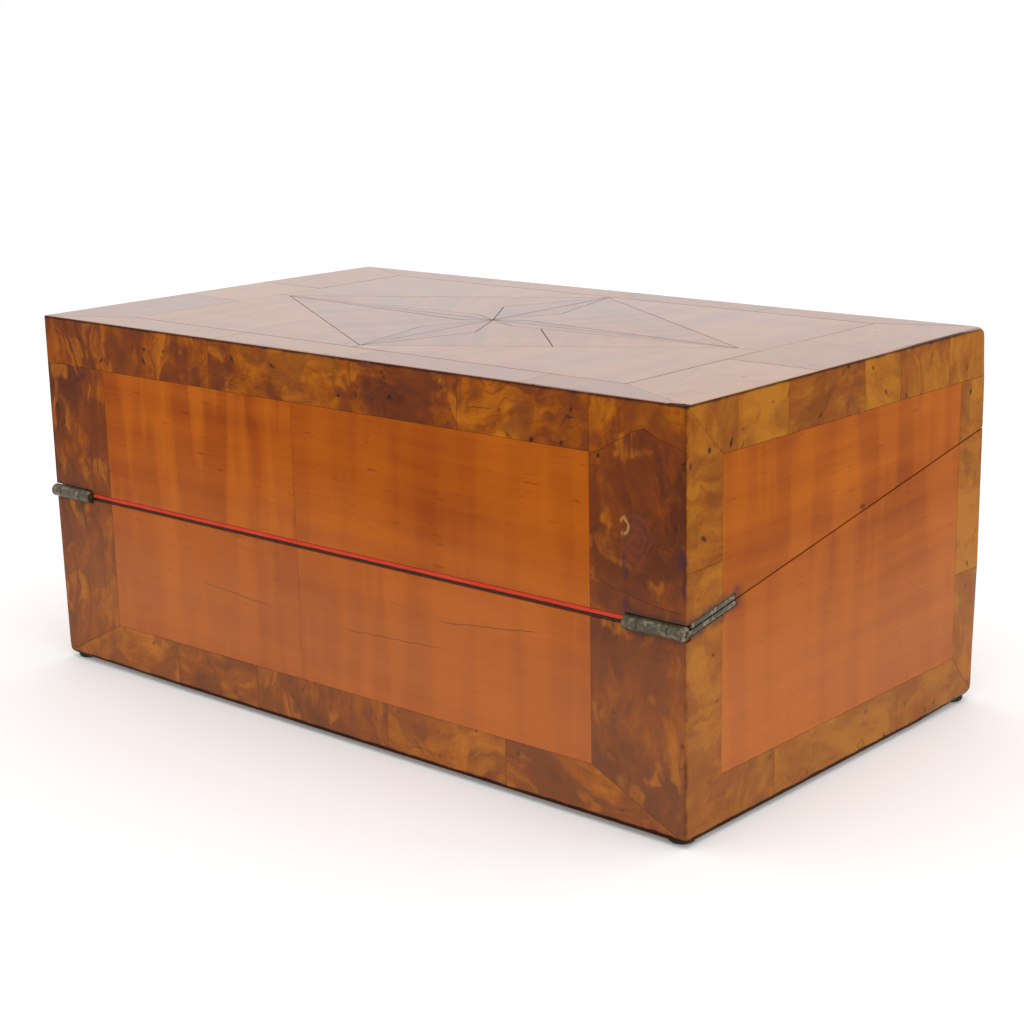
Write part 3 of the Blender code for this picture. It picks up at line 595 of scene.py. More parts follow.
FINISHES = {
    "panel": panel_veneer("panel_veneer", PANEL_LIGHT, PANEL_DARK, 0.2),
    "striped": panel_veneer("striped_panel_veneer", PANEL_LIGHT, PANEL_DARK, 0.6),
    "end_panel": panel_veneer("end_panel_veneer", (0.45, 0.112, 0.005), (0.26, 0.049, 0.003), 0.32),
    "cracked": panel_veneer(
        "cracked_panel_veneer", PANEL_LIGHT, PANEL_DARK, 0.35,
        cracks=(
            ((0.056, 0.0605), (0.113, 0.0667)),
            ((0.003, 0.0478), (0.065, 0.0509)),
            ((-0.080, 0.0527), (-0.031, 0.0494)),
        ),
    ),
    "burr": burr_veneer("burr_veneer", GOLD, AMBER, BROWN, PURPLE),
    "tan_burr": burr_veneer("tan_burr_veneer", TAN_GOLD, TAN_AMBER, TAN_BROWN, TAN_PURPLE, 0.7),
    "top_burr": burr_veneer(
        "top_burr_veneer", TOP_GOLD, TOP_AMBER, TOP_BROWN, TOP_PURPLE, 0.45, False
    ),
    "star": panel_veneer(
        "star_veneer", (0.28, 0.085, 0.040), (0.16, 0.048, 0.024), 0.5, weathered_and_shaded=False
    ),
    "field": panel_veneer(
        "field_veneer", (0.36, 0.125, 0.038), (0.21, 0.066, 0.022), 0.5, weathered_and_shaded=False
    ),
    "carcass_x": plain_wood("carcass_wood_long", *CARCASS_TONES, "X", 0.62),
    "carcass_y": plain_wood("carcass_wood_cross", *CARCASS_TONES, "Y", 0.62),
    "fitting_x": plain_wood("fitting_wood_long", *FITTING_TONES, "X", 0.36, 0.3),
    "fitting_y": plain_wood("fitting_wood_cross", *FITTING_TONES, "Y", 0.36, 0.3),
    "cloth": red_cloth("red_cloth"),
    "brass": tarnished("tarnished_brass", *BRASS_TONES),
    "cap": tarnished("cap_brass", *CAP_TONES, 0.95, 0.62, 0.3),
    "steel": tarnished("lock_steel", *STEEL_TONES, 0.95, 0.55),
    "glass": glass("inkwell_glass"),
    "ink": ink("dried_ink"),
    "pad": plain_wood("foot_pad", (0.040, 0.030, 0.024), (0.015, 0.011, 0.009), "X", 0.8),
    "floor": floor_finish(),
}

# ---- mesh helpers


def placed(name, data):
    obj = bpy.data.objects.new(name, data)
    bpy.context.scene.collection.objects.link(obj)
    return obj


def make_piece(name, bm, finishes, body=None, replaced=(), smooth_angle=35):
    """Puts a mesh into the scene as one finished piece of a body."""
    mesh = bpy.data.meshes.new(name)
    bm.to_mesh(mesh)
    bm.free()
    for finish in finishes:
        mesh.materials.append(FINISHES[finish])
    mesh.shade_smooth()
    mesh.set_sharp_from_angle(angle=math.radians(smooth_angle))
    obj = placed(name, mesh)
    if body:
        settle(obj, body, replaced)
    return obj


def settle(obj, body, replaced=()):
    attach(obj, body)
    if replaced:
        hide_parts(*replaced)


def bake_modifiers(obj):
    """Turns the evaluated object into a plain mesh and takes its modifiers off."""
    graph = bpy.context.evaluated_depsgraph_get()
    mesh = bpy.data.meshes.new_from_object(obj.evaluated_get(graph))
    obj.modifiers.clear()
    obj.data = mesh


def cut_with(obj, cutters):
    """Takes the cutters' shapes out of a piece and removes them."""
    for cutter in cutters:
        modifier = obj.modifiers.new("room", "BOOLEAN")
        modifier.operation = "DIFFERENCE"
        modifier.solver = "EXACT"
        modifier.object = cutter
    bake_modifiers(obj)
    for cutter in cutters:
        bpy.data.objects.remove(cutter)


def box_mesh(bm, spans, matrix=None):
    """Adds a block between three spans."""
    size = [high - low for low, high in spans]
    centre = Vector([(low + high) / 2 for low, high in spans])
    place = Matrix.Translation(centre) @ Matrix.Diagonal((*size, 1.0))
    return bmesh.ops.create_cube(bm, size=1.0, matrix=(matrix or Matrix()) @ place)["verts"]


BOX_MIDDLE = Vector((0, MIDDLE_Y, (BOTTOM + TOP) / 2))
BOX_HALF = Vector((HALF, DEPTH / 2, HEIGHT / 2))
SLOPE_FRAME = Matrix.Translation((0, FRONT, SPLIT_FRONT)) @ Matrix.Rotation(SLOPE, 4, "X")


def bridge(bm, first, second):
    """Joins two closed rings of as many points with faces."""
    for index in range(len(first)):
        after = (index + 1) % len(first)
        bm.faces.new((first[index], first[after], second[after], second[index]))


def lathe(bm, profile, matrix, sides=32):
    """A turned solid from its outer profile of radius and height, from bottom to top."""
    rings = []
    for radius, height in profile:
        if radius < 0.001 * MM:
            rings.append([bm.verts.new(matrix @ Vector((0, 0, height)))])
            continue
        turns = [2 * math.pi * step / sides for step in range(sides)]
        rings.append(
            [
                bm.verts.new(matrix @ Vector((radius * math.cos(t), radius * math.sin(t), height)))
                for t in turns
            ]
        )
    for lower, upper in zip(rings, rings[1:]):
        for step in range(sides):
            after = (step + 1) % sides
            corners = [lower[step % len(lower)], lower[after % len(lower)]]
            corners += [upper[after % len(upper)], upper[step % len(upper)]]
            loop = list(dict.fromkeys(corners))
            if len(loop) > 2:
                bm.faces.new(loop)
    bmesh.ops.recalc_face_normals(bm, faces=bm.faces)


def refined(node, body, finish, rounding):
    """A piece in the shape of one solid part, with its edges eased."""
    source = frame["nodes"][node]
    bm = bmesh.new()
    bm.from_mesh(source.data)
    bmesh.ops.remove_doubles(bm, verts=bm.verts, dist=0.001 * MM)
    flat = math.radians(1.5)
    bmesh.ops.dissolve_limit(bm, angle_limit=flat, verts=bm.verts, edges=bm.edges)
    sharp = [e for e in bm.edges if len(e.link_faces) == 2 and e.calc_face_angle(0) > 0.6]
    bmesh.ops.bevel(
        bm, geom=sharp, offset=rounding, segments=2, profile=0.5, affect="EDGES",
        clamp_overlap=True,
    )
    bmesh.ops.remove_doubles(bm, verts=bm.verts, dist=0.001 * MM)
    return make_piece(node + "_piece", bm, [finish], body, (node,))


# ---- veneer leaves

MATERIAL_ORDER = [
    "panel", "striped", "end_panel", "cracked", "burr", "tan_burr", "top_burr", "star", "field"
]
BISECT_OFFSETS = mm(0.25, 0.6, 1.1, 1.8, 2.7, 3.9, 5.4)


class Side:
    """One outer face of the box: its lower left corner seen from outside, and its directions."""

    def __init__(self, corner, across, up, width, height):
        self.corner, self.across, self.up = Vector(corner), Vector(across), Vector(up)
        self.out = self.across.cross(self.up)
        self.width, self.height = width, height

    def point(self, u, v, depth):
        return self.corner + self.across * u + self.up * v - self.out * depth


SIDES = {
    "front": Side((-HALF, FRONT, BOTTOM), (1, 0, 0), (0, 0, 1), 2 * HALF, HEIGHT),
    "back": Side((HALF, BACK, BOTTOM), (-1, 0, 0), (0, 0, 1), 2 * HALF, HEIGHT),
    "right": Side((HALF, FRONT, BOTTOM), (0, 1, 0), (0, 0, 1), DEPTH, HEIGHT),
    "left": Side((-HALF, BACK, BOTTOM), (0, -1, 0), (0, 0, 1), DEPTH, HEIGHT),
    "top": Side((-HALF, FRONT, TOP), (1, 0, 0), (0, 1, 0), 2 * HALF, DEPTH),
}


class Leaf:
    """One piece of veneer: its outline on a side, its wood, grain direction and tone."""

    def __init__(self, outline, wood, grain=0.0, tone=0.5):
        self.outline, self.wood, self.grain, self.tone = outline, wood, grain, tone


def clipped(outline, above):
    """The part of an outline where above(u, v) is not negative."""
    kept = []
    for index, (u, v) in enumerate(outline):
        last_u, last_v = outline[index - 1]
        here, before = above(u, v), above(last_u, last_v)
        if here * before < 0:
            share = before / (before - here)
            kept.append((last_u + (u - last_u) * share, last_v + (v - last_v) * share))
        if here >= 0:
            kept.append((u, v))
    return kept


def signed_area(outline):
    """Positive when the outline runs anticlockwise."""
    return sum(a[0] * b[1] - b[0] * a[1] for a, b in zip(outline, outline[1:] + outline[:1])) / 2


def shrunk(outline, amount):
    """The outline moved inwards by amount on every edge."""
    turn = 1 if signed_area(outline) > 0 else -1
    moved = []
    count = len(outline)
    for index in range(count):
        before, here, after = (Vector(outline[(index + k) % count]) for k in (-1, 0, 1))
        first, second = (here - before).normalized(), (after - here).normalized()
        inward = (Vector((-first.y, first.x)) + Vector((-second.y, second.x))) * turn
        if inward.length < 0.001:
            inward = Vector((-first.y, first.x)) * turn
        inward.normalize()
        lean = max(0.15, inward.dot(Vector((-first.y, first.x)) * turn))
        moved.append(tuple(here + inward * (amount / lean)))
    return moved


def tidy_outline(outline):
    """Drops points that coincide with the one before."""
    kept = []
    for point in outline:
        if not kept or (Vector(point) - Vector(kept[-1])).length > 0.05 * MM:
            kept.append(point)
    if len(kept) > 1 and (Vector(kept[0]) - Vector(kept[-1])).length < 0.05 * MM:
        kept.pop()
    return kept


def add_leaf(bm, side, leaf, sink, grain_layer, tone_layer, rng):
    """Adds one leaf as a thin plate with eased top edges."""
    outline = tidy_outline(leaf.outline)
    if len(outline) < 3:
        return
    if signed_area(outline) < 0:
        outline.reverse()
    gap = {"star": LIFTED_JOINT, "field": LIFTED_JOINT, "top_burr": 2 * JOINT}.get(leaf.wood, JOINT)
    lower = shrunk(outline, gap)
    upper = shrunk(outline, gap + EDGE)
    levels = ((upper, sink), (lower, sink + EDGE), (lower, VENEER))
    rings = [[bm.verts.new(side.point(u, v, depth)) for u, v in ring] for ring, depth in levels]
    faces = [bm.faces.new(rings[0]), bm.faces.new(rings[2][::-1])]
    count = len(outline)
    for high_ring, low_ring in zip(rings, rings[1:]):
        for index in range(count):
            after = (index + 1) % count
            faces.append(
                bm.faces.new((high_ring[index], low_ring[index], low_ring[after], high_ring[after]))
            )
    angle = math.radians(leaf.grain)
    shift = Vector((rng.uniform(0.5, 3.5), rng.uniform(0.5, 3.5)))
    for face in faces:
        face.material_index = MATERIAL_ORDER.index(leaf.wood)
        face[tone_layer] = leaf.tone
        for loop in face.loops:
            offset = loop.vert.co - side.corner
            u, v = offset.dot(side.across), offset.dot(side.up)
            along = u * math.cos(angle) + v * math.sin(angle)
            across = v * math.cos(angle) - u * math.sin(angle)
            loop[grain_layer].uv = (along + shift.x, across + shift.y)


def edge_radius(place):
    """How far the box's outer edges are rounded by use, more along the lower back edge."""
    low = min(1.0, max(0.0, 1 - (place.z - BOTTOM) / (14 * MM)))
    high = min(1.0, max(0.0, 1 - (TOP - place.z) / (12 * MM)))
    back = min(1.0, max(0.0, 1 - (BACK - place.y) / (14 * MM)))
    left = min(1.0, max(0.0, 1 - (place.x + HALF) / (14 * MM)))
    radius = 0.7 * MM
    radius += 4.2 * MM * low * back
    radius += 2.6 * MM * low * left
    radius += 2.6 * MM * high * back
    wander = noise.noise(place * 45.0)
    return radius * (1.0 + 0.35 * wander)


def round_box_edges(bm):
    """Bends whatever lies near the box's outer edges onto a rounded box."""
    for vert in bm.verts:
        local = vert.co - BOX_MIDDLE
        radius = edge_radius(vert.co)
        core = Vector([max(-(h - radius), min(h - radius, c)) for c, h in zip(local, BOX_HALF)])
        excess = local - core
        largest = max(abs(c) for c in excess)
        if sum(1 for c in excess if abs(c) > 0.001 * MM) > 1 and excess.length > 0:
            excess *= largest / excess.length
            vert.co = BOX_MIDDLE + core + excess


def slice_near_edges(bm, side):
    """Adds cuts close to the box's outer edges, so that they can be rounded."""
    for axis in range(3):
        if abs(side.out[axis]) > 0.5:
            continue
        normal = Vector([1.0 if k == axis else 0.0 for k in range(3)])
        for sign in (-1, 1):
            for offset in BISECT_OFFSETS:
                point = BOX_MIDDLE + normal * sign * (BOX_HALF[axis] - offset)
                geometry = bm.verts[:] + bm.edges[:] + bm.faces[:]
                bmesh.ops.bisect_plane(bm, geom=geometry, plane_co=point, plane_no=normal)


def banded(side, plan, rng):
    """Leaves of a face: bands round it, broken at given places, and its middle panels.

    In the plan, bands holds the widths at left, right, bottom and top; breaks the joints along
    each band and across the panel; corners says for each corner, as bottom left, bottom right,
    top left, top right, whether it is mitred or which band runs through: "m", "side" or "flat";
    tones holds the tones that aren't left to chance.
    """
    left, right, bottom, top = plan["bands"]
    breaks, woods = plan["breaks"], plan["woods"]
    width, height = side.width, side.height
    inner = {
        "bl": (left, bottom), "br": (width - right, bottom),
        "tl": (left, height - top), "tr": (width - right, height - top),
    }
    outer = {"bl": (0, 0), "br": (width, 0), "tl": (0, height), "tr": (width, height)}
    style = dict(zip(("bl", "br", "tl", "tr"), plan["corners"]))

    def tone_of(name, number, drawn):
        given = plan["tones"].get(name, ())
        return given[number] if number < len(given) else drawn

    def upright_end(corner):
        """Outer and inner end of an upright band at a corner."""
        if style[corner] == "m":
            return outer[corner], inner[corner]
        if style[corner] == "side":
            return outer[corner], (inner[corner][0], outer[corner][1])
        return (outer[corner][0], inner[corner][1]), inner[corner]

    def flat_end(corner):
        if style[corner] == "m":
            return outer[corner], inner[corner]
        if style[corner] == "flat":
            return outer[corner], (outer[corner][0], inner[corner][1])
        return (inner[corner][0], outer[corner][1]), inner[corner]

    leaves = []

    def strip(start, end, cuts, horizontal, name):
        """Leaves of one band between two end edges, joined at cuts."""
        edges = [start]
        for cut in cuts:
            lean = rng.uniform(-0.4, 0.4) * MM
            if horizontal:
                edges.append(((cut, start[0][1]), (cut + lean, start[1][1])))
            else:
                edges.append(((start[0][0], cut), (start[1][0], cut + lean)))
        edges.append(end)
        for number, (first, second) in enumerate(zip(edges, edges[1:])):
            tone = tone_of(name, number, rng.uniform(0.35, 0.68))
            grain = rng.choice((0, 90)) + rng.uniform(-15, 15)
            leaves.append(Leaf([first[0], second[0], second[1], first[1]], woods["band"], grain, tone))

    strip(upright_end("bl"), upright_end("tl"), breaks["left"], False, "left")
    strip(upright_end("br"), upright_end("tr"), breaks["right"], False, "right")
    strip(flat_end("bl"), flat_end("br"), breaks["bottom"], True, "bottom")
    strip(flat_end("tl"), flat_end("tr"), breaks["top"], True, "top")
    xs = [left, *breaks["panel"], width - right]
    for number, (first, second) in enumerate(zip(xs, xs[1:])):
        outline = [(first, bottom), (second, bottom), (second, height - top), (first, height - top)]
        wood = woods["panel"][min(number, len(woods["panel"]) - 1)]
        tone = tone_of("panel", number, rng.uniform(0.45, 0.55))
        leaves.append(Leaf(outline, wood, rng.uniform(-2, 2), tone))
    return leaves


def star_leaves(side, rng):
    """A lozenge with a four-pointed star in it, four corner fields and mitred bands."""
    centre = mm(174, 101.5)
    left_tip, right_tip = mm(47, 103), mm(299, 102)
    low_tip, high_tip = mm(173.6, 23.7), mm(173.6, 179.5)
    right_arm = (mm(186, 108.5), mm(192, 93.5))
    left_arm = (mm(158, 109.5), mm(162, 94.5))
    low_arm = (mm(189.7, 73), mm(160, 74))
    high_arm = (mm(187, 131), mm(153.2, 131.7))
    band_side, band_long = 40.5 * MM, 19.3 * MM
    inner_low, inner_high = band_long, side.height - band_long
    inner_left, inner_right = band_side, side.width - band_side
    seam_start, seam_end = mm(206.3, 94.7), mm(238.5, 64.2)
    leaves = [
        Leaf([centre, right_tip, right_arm[0]], "star", 0, 0.30),
        Leaf([centre, right_arm[1], seam_start, right_tip], "star", 4, 0.70),
        Leaf([centre, left_arm[0], left_tip], "star", 0, 0.70),
        Leaf([centre, left_tip, left_arm[1]], "star", 0, 0.30),
        Leaf([centre, low_tip, low_arm[0]], "star", 90, 0.65),
        Leaf([centre, low_arm[1], low_tip], "star", 90, 0.30),
        Leaf([centre, high_arm[0], high_tip], "star", 90, 0.30),
        Leaf([centre, high_tip, high_arm[1]], "star", 90, 0.65),
        Leaf([centre, low_arm[0], low_tip, seam_end, seam_start, right_arm[1]], "field", 35, 0.34),
        Leaf([seam_start, seam_end, right_tip], "field", 32, 0.52),
        Leaf([centre, left_arm[1], left_tip, low_tip, low_arm[1]], "field", -32, 0.36),
        Leaf([centre, high_arm[1], high_tip, left_tip, left_arm[0]], "field", 32, 0.44),
        Leaf([centre, right_arm[0], right_tip, high_tip, high_arm[0]], "field", -32, 0.30),
    ]
    over_high, under_low = (high_tip[0], inner_high), (low_tip[0], inner_low)
    past_left, past_right = (inner_left, left_tip[1]), (inner_right, right_tip[1])
    leaves += [
        Leaf([under_low, (inner_right, inner_low), past_right, right_tip, low_tip], "field", 0, 0.75),
        Leaf([past_right, (inner_right, inner_high), over_high, high_tip, right_tip], "field", 0, 0.6),
        Leaf([over_high, (inner_left, inner_high), past_left, left_tip, high_tip], "field", 0, 0.7),
        Leaf([past_left, (inner_left, inner_low), under_low, low_tip, left_tip], "field", 0, 0.65),
    ]
    plan = {
        "bands": (band_side, band_side, band_long, band_long),
        "breaks": {
            "left": mm(79.7, 128), "right": mm(80.2, 130.6),
            "bottom": mm(112.3, 190, 276), "top": mm(90, 176, 251.3),
            "panel": (),
        },
        "corners": "mmmm",
        "woods": {"band": "top_burr", "panel": ["field"]},
        "tones": {},
    }
    return leaves + banded(side, plan, rng)[:-1]


TOP_SEED = 71
FACE_PLANS = {
    "front": {
        "bands": mm(39.2, 41.8, 19.9, 20.8),
        "breaks": {
            "left": (), "right": (),
            "bottom": mm(78.6, 129.3, 205.2, 267.2),
            "top": mm(109.6, 192.0, 246.9), "panel": mm(157.6),
        },
        "corners": ("m", "m", "flat", "side"),
        "woods": {"band": "burr", "panel": ["striped", "panel"]},
        "tones": {
            "left": (0.36,), "right": (0.24,), "bottom": (0.55, 0.42, 0.38, 0.55, 0.44),
            "top": (0.42, 0.54, 0.44, 0.46), "panel": (0.50, 0.50),
        },
        "seed": 11,
    },
    "right": {
        "bands": mm(20.8, 18.8, 20.0, 19.9),
        "breaks": {
            "left": mm(97.4), "right": mm(55.4),
            "bottom": mm(25.9, 54.0, 140.0, 158.8),
            "top": mm(29.2, 60.2, 110.0, 135.5, 172.0),
            "panel": (),
        },
        "corners": ("m", "m", "m", "flat"),
        "woods": {"band": "tan_burr", "panel": ["end_panel"]},
        "tones": {
            "left": (0.60, 0.56), "right": (0.68, 0.70), "bottom": (0.50, 0.58, 0.70, 0.60, 0.66),
            "top": (0.62, 0.74, 0.48, 0.70, 0.54, 0.66), "panel": (0.57,),
        },
        "seed": 5,
    },
    "left": {
        "bands": mm(18.8, 20.8, 20.0, 19.9),
        "breaks": {
            "left": mm(61.0), "right": mm(88.0),
            "bottom": mm(48.0, 97.0, 149.0),
            "top": mm(40.0, 86.0, 131.0), "panel": (),
        },
        "corners": ("m", "m", "flat", "m"),
        "woods": {"band": "tan_burr", "panel": ["end_panel"]},
        "tones": {"panel": (0.55,)},
        "seed": 23,
    },
    "back": {
        "bands": mm(41.0, 39.0, 20.0, 20.8),
        "breaks": {
            "left": (), "right": (),
            "bottom": mm(92.0, 150.0, 214.0, 270.0),
            "top": mm(101.0, 163.0, 238.0), "panel": mm(204.0),
        },
        "corners": ("m", "m", "side", "flat"),
        "woods": {"band": "burr", "panel": ["panel", "striped"]},
        "tones": {},
        "seed": 37,
    },
}


def cracked_band(side, tones):
    """The dark band nearest the right end of the hinge face, split by an arch and a crack."""
    left, right = side.width - 41.8 * MM, side.width
    top, low = side.height, 19.9 * MM
    arch = [(left, top - 21.5 * MM), (left + 6 * MM, top - 19 * MM), (left + 13 * MM, top - 15 * MM)]
    arch += [(left + 19 * MM, top - 11.5 * MM), (left + 24 * MM, top - 10 * MM)]
    arch += [(left + 31 * MM, top - 13 * MM), (right, top - 16 * MM)]
    split = [(left, 90.5 * MM), (left + 12 * MM, 87 * MM)]
    split += [(left + 26 * MM, 84.2 * MM), (right, 83 * MM)]
    outlines = (
        [(left, top), *arch, (right, top)],
        [*arch, *split[::-1]],
        [*split, (right, 0.0), (left, low)],
    )
    return [Leaf(outline, "burr", 90, tone) for outline, tone in zip(outlines, tones)]


def cutter_object(bm):
    mesh = bpy.data.meshes.new("room")
    bm.to_mesh(mesh)
    bm.free()
    return placed("room", mesh)


def hinge_room(side_sign, body):
    """Cutters for the barrel and the leaf of one hinge in a body's veneer."""
    sign = INTO[body]
    outer = HALF + WALL
    groove = BARREL_RADIUS + GAP
    barrel = bmesh.new()
    spans = [sorted((side_sign * (HALF - BARREL_LENGTH - GAP), side_sign * outer))]
    spans.append((FRONT - WALL, AXIS.y + groove))
    spans.append((AXIS.z - groove, AXIS.z + groove))
    box_mesh(barrel, spans)
    deep = SEAM / 2 + LEAF_THICKNESS + GAP
    leaf = bmesh.new()
    spans = [sorted((side_sign * (HALF - LEAF_WIDTH), side_sign * (outer + GAP)))]
    spans.append((0.0, LEAF_REACH + GAP))
    spans.append(tuple(sorted((sign * deep, -sign * WALL))))
    box_mesh(leaf, spans, SLOPE_FRAME)
    return [cutter_object(barrel), cutter_object(leaf)]


def split_line(side, body):
    """For outlines of a side: positive on the body's own side of the joint."""
    sign = INTO[body]
    room = FOLD_ROOM[body] if side.out.y < -0.5 else SEAM / 2

    def above(u, v):
        place = side.point(u, v, 0)
        return sign * (place.z - split_height(place.y)) - room / math.cos(SLOPE)

    return above


def make_veneer(side_name, body):
    """All leaves of one side that belong to one body, as one piece."""
    side = SIDES[side_name]
    if side_name == "top":
        rng = random.Random(TOP_SEED)
        leaves = star_leaves(side, rng)
    else:
        plan = FACE_PLANS[side_name]
        rng = random.Random(plan["seed"])
        leaves = banded(side, plan, rng)
        if side_name == "front":
            leaves[1:2] = cracked_band(side, (0.52, 0.30, 0.27))
        line = split_line(side, body)
        for leaf in leaves:
            leaf.outline = clipped(leaf.outline, line)
            if side_name == "front" and body == "base" and leaf.wood in ("panel", "striped"):
                leaf.wood = "cracked"
    bm = bmesh.new()
    grain_layer = bm.loops.layers.uv.new("grain")
    tone_layer = bm.faces.layers.float.new("tone")
    for leaf in leaves:
        add_leaf(bm, side, leaf, rng.uniform(0.0, 0.07) * MM, grain_layer, tone_layer, rng)
    name = f"{body}_{side_name}_veneers"
    obj = make_piece(name, bm, MATERIAL_ORDER)
    cutters = []
    if side_name == "front":
        cutters = hinge_room(-1, body) + hinge_room(1, body)
    elif side_name in ENDS:
        cutters = hinge_room(ENDS[side_name], body)
    elif side_name == "back" and body == "base":
        cutters = [escutcheon_room()]
    elif side_name == "top":
        cutters = [corner_chip()]
    if cutters:
        cut_with(obj, cutters)
    bm = bmesh.new()
    bm.from_mesh(obj.data)
    slice_near_edges(bm, side)
    round_box_edges(bm)
    bmesh.ops.triangulate(bm, faces=[f for f in bm.faces if len(f.verts) > 4])
    bm.to_mesh(obj.data)
    bm.free()
    obj.data.shade_smooth()
    obj.data.set_sharp_from_angle(angle=math.radians(28))
    settle(obj, body, (f"{body}_{side_name}_veneer",))
    return obj


def corner_chip():
    """Where a flake of the lid's veneer has broken off at its near corner."""
    bm = bmesh.new()
    x, y = HALF, FRONT
    outline = [(x - 9 * MM, y - 2 * MM), (x - 7.4 * MM, y + 1.1 * MM), (x - 4.6 * MM, y + 1.6 * MM)]
    outline += [(x - 3.0 * MM, y + 2.6 * MM), (x - 1.2 * MM, y + 2.2 * MM), (x + 2 * MM, y + 3.4 * MM)]
    outline += [(x + 2 * MM, y - 2 * MM)]
    low = [bm.verts.new((*point, TOP - 0.8 * MM)) for point in outline]
    high = [bm.verts.new((*point, TOP + 2 * MM)) for point in outline]
    bm.faces.new(low)
    bm.faces.new(high[::-1])
    for index in range(len(outline)):
        after = (index + 1) % len(outline)
        bm.faces.new((low[index], high[index], high[after], low[after]))
    bmesh.ops.recalc_face_normals(bm, faces=bm.faces)
    return cutter_object(bm)


def escutcheon_room():
    low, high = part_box("escutcheon")
    centre = [(a + b) / 2 for a, b in zip(low, high)]
    bm = bmesh.new()
    place = Matrix.Translation(centre) @ Matrix.Rotation(math.pi / 2, 4, "X")
    stretch = Matrix.Diagonal((high[0] - low[0] + GAP, high[2] - low[2] + GAP, 6 * MM, 1.0))
    bmesh.ops.create_cone(
        bm, cap_ends=True, segments=48, radius1=0.5, radius2=0.5, depth=1.0, matrix=place @ stretch
    )
    return cutter_object(bm)


# ---- hinges


def knuckle(bm, span):
    """A rolled barrel knuckle with eased ends, round the hinge axis."""
    low, high = sorted(span)
    ease = 0.35 * MM
    inner = 1.3 * MM
    profile = [
        (0.0, low + ease), (inner, low + ease), (inner, low), (BARREL_RADIUS - ease, low),
        (BARREL_RADIUS, low + ease), (BARREL_RADIUS, high - ease), (BARREL_RADIUS - ease, high),
        (inner, high), (inner, high - ease), (0.0, high - ease),
    ]
    turn = Matrix.Translation((0, AXIS.y, AXIS.z)) @ Matrix.Rotation(math.pi / 2, 4, "Y")
    lathe(bm, profile, turn, 36)


def plate(bm, outline, low, high, matrix, ease):
    """A flat plate with eased edges from an outline, between two heights of a tilted frame."""
    points = outline if signed_area(outline) > 0 else outline[::-1]
    verts = [bm.verts.new((x, y, low)) for x, y in points]
    face = bm.faces.new(verts)
    up = bmesh.ops.extrude_face_region(bm, geom=[face])
    moved = [v for v in up["geom"] if isinstance(v, bmesh.types.BMVert)]
    bmesh.ops.translate(bm, vec=(0, 0, high - low), verts=moved)
    everything = list(dict.fromkeys(verts + moved))
    edges = list(dict.fromkeys(e for v in everything for e in v.link_edges))
    faces = list(dict.fromkeys(f for v in everything for f in v.link_faces))
    bmesh.ops.recalc_face_normals(bm, faces=faces)
    made = bmesh.ops.bevel(bm, geom=edges, offset=ease, segments=2, profile=0.5, affect="EDGES")
    shaped = [v for f in made["faces"] for v in f.verts] + [v for v in everything if v.is_valid]
    bmesh.ops.transform(bm, matrix=matrix, verts=list(dict.fromkeys(shaped)))


def knuckle_spans(body):
    outer, inner = HALF, HALF - BARREL_LENGTH
    first, last = outer - KNUCKLE_END, inner + KNUCKLE_END
    if body == "base":
        return [(first + 0.06 * MM, outer - 0.05 * MM), (inner + 0.05 * MM, last - 0.06 * MM)]
    return [(last + 0.10 * MM, first - 0.10 * MM)]


def make_hinge_leaf(side_name, body):
    sign, side_sign = INTO[body], ENDS[side_name]
    clear = BARREL_RADIUS + 1.4 * GAP
    bm = bmesh.new()
    outer, start = HALF - 0.02 * MM, HALF - LEAF_LENGTH
    elbow = HALF - LEAF_WIDTH
    spans = knuckle_spans(body)
    root = 0.6 * MM
    outline = [(outer, LEAF_REACH), (elbow, LEAF_REACH), (elbow, LEAF_WIDTH), (start, LEAF_WIDTH)]
    if body == "base":
        outline += [(start, root), (spans[1][1], root), (spans[1][1], clear)]
        outline += [(spans[0][0], clear), (spans[0][0], root), (outer, root)]
    else:
        low, high = spans[0]
        outline += [(start, clear), (low, clear), (low, root), (high, root), (high, clear)]
        outline += [(outer, clear)]
    outline = [(side_sign * x, y) for x, y in outline]
    bounds = sorted((sign * SEAM / 2, sign * (SEAM / 2 + LEAF_THICKNESS)))
    plate(bm, outline, bounds[0], bounds[1], SLOPE_FRAME, 0.22 * MM)
    for low, high in spans:
        knuckle(bm, (side_sign * low, side_sign * high))
    node = f"{side_name}_hinge_{body}_leaf"
    return make_piece(node + "_brass", bm, ["brass"], body, (node,), 30)


def make_hinge_pin(side_name):
    low, high = HALF - BARREL_LENGTH + GAP, HALF - GAP
    radius, dome = 1.1 * MM, 0.4 * MM
    profile = [(0.0, low), (radius - dome, low + 0.05 * MM), (radius, low + dome)]
    profile += [(radius, high - dome), (radius - dome, high - 0.05 * MM), (0.0, high)]
    turn = Matrix.Translation((0, AXIS.y, AXIS.z)) @ Matrix.Rotation(ENDS[side_name] * math.pi / 2, 4, "Y")
    bm = bmesh.new()
    lathe(bm, profile, turn, 24)
    node = f"{side_name}_hinge_pin"
    return make_piece(node + "_wire", bm, ["brass"], "base", (node,), 40)


# ---- screws


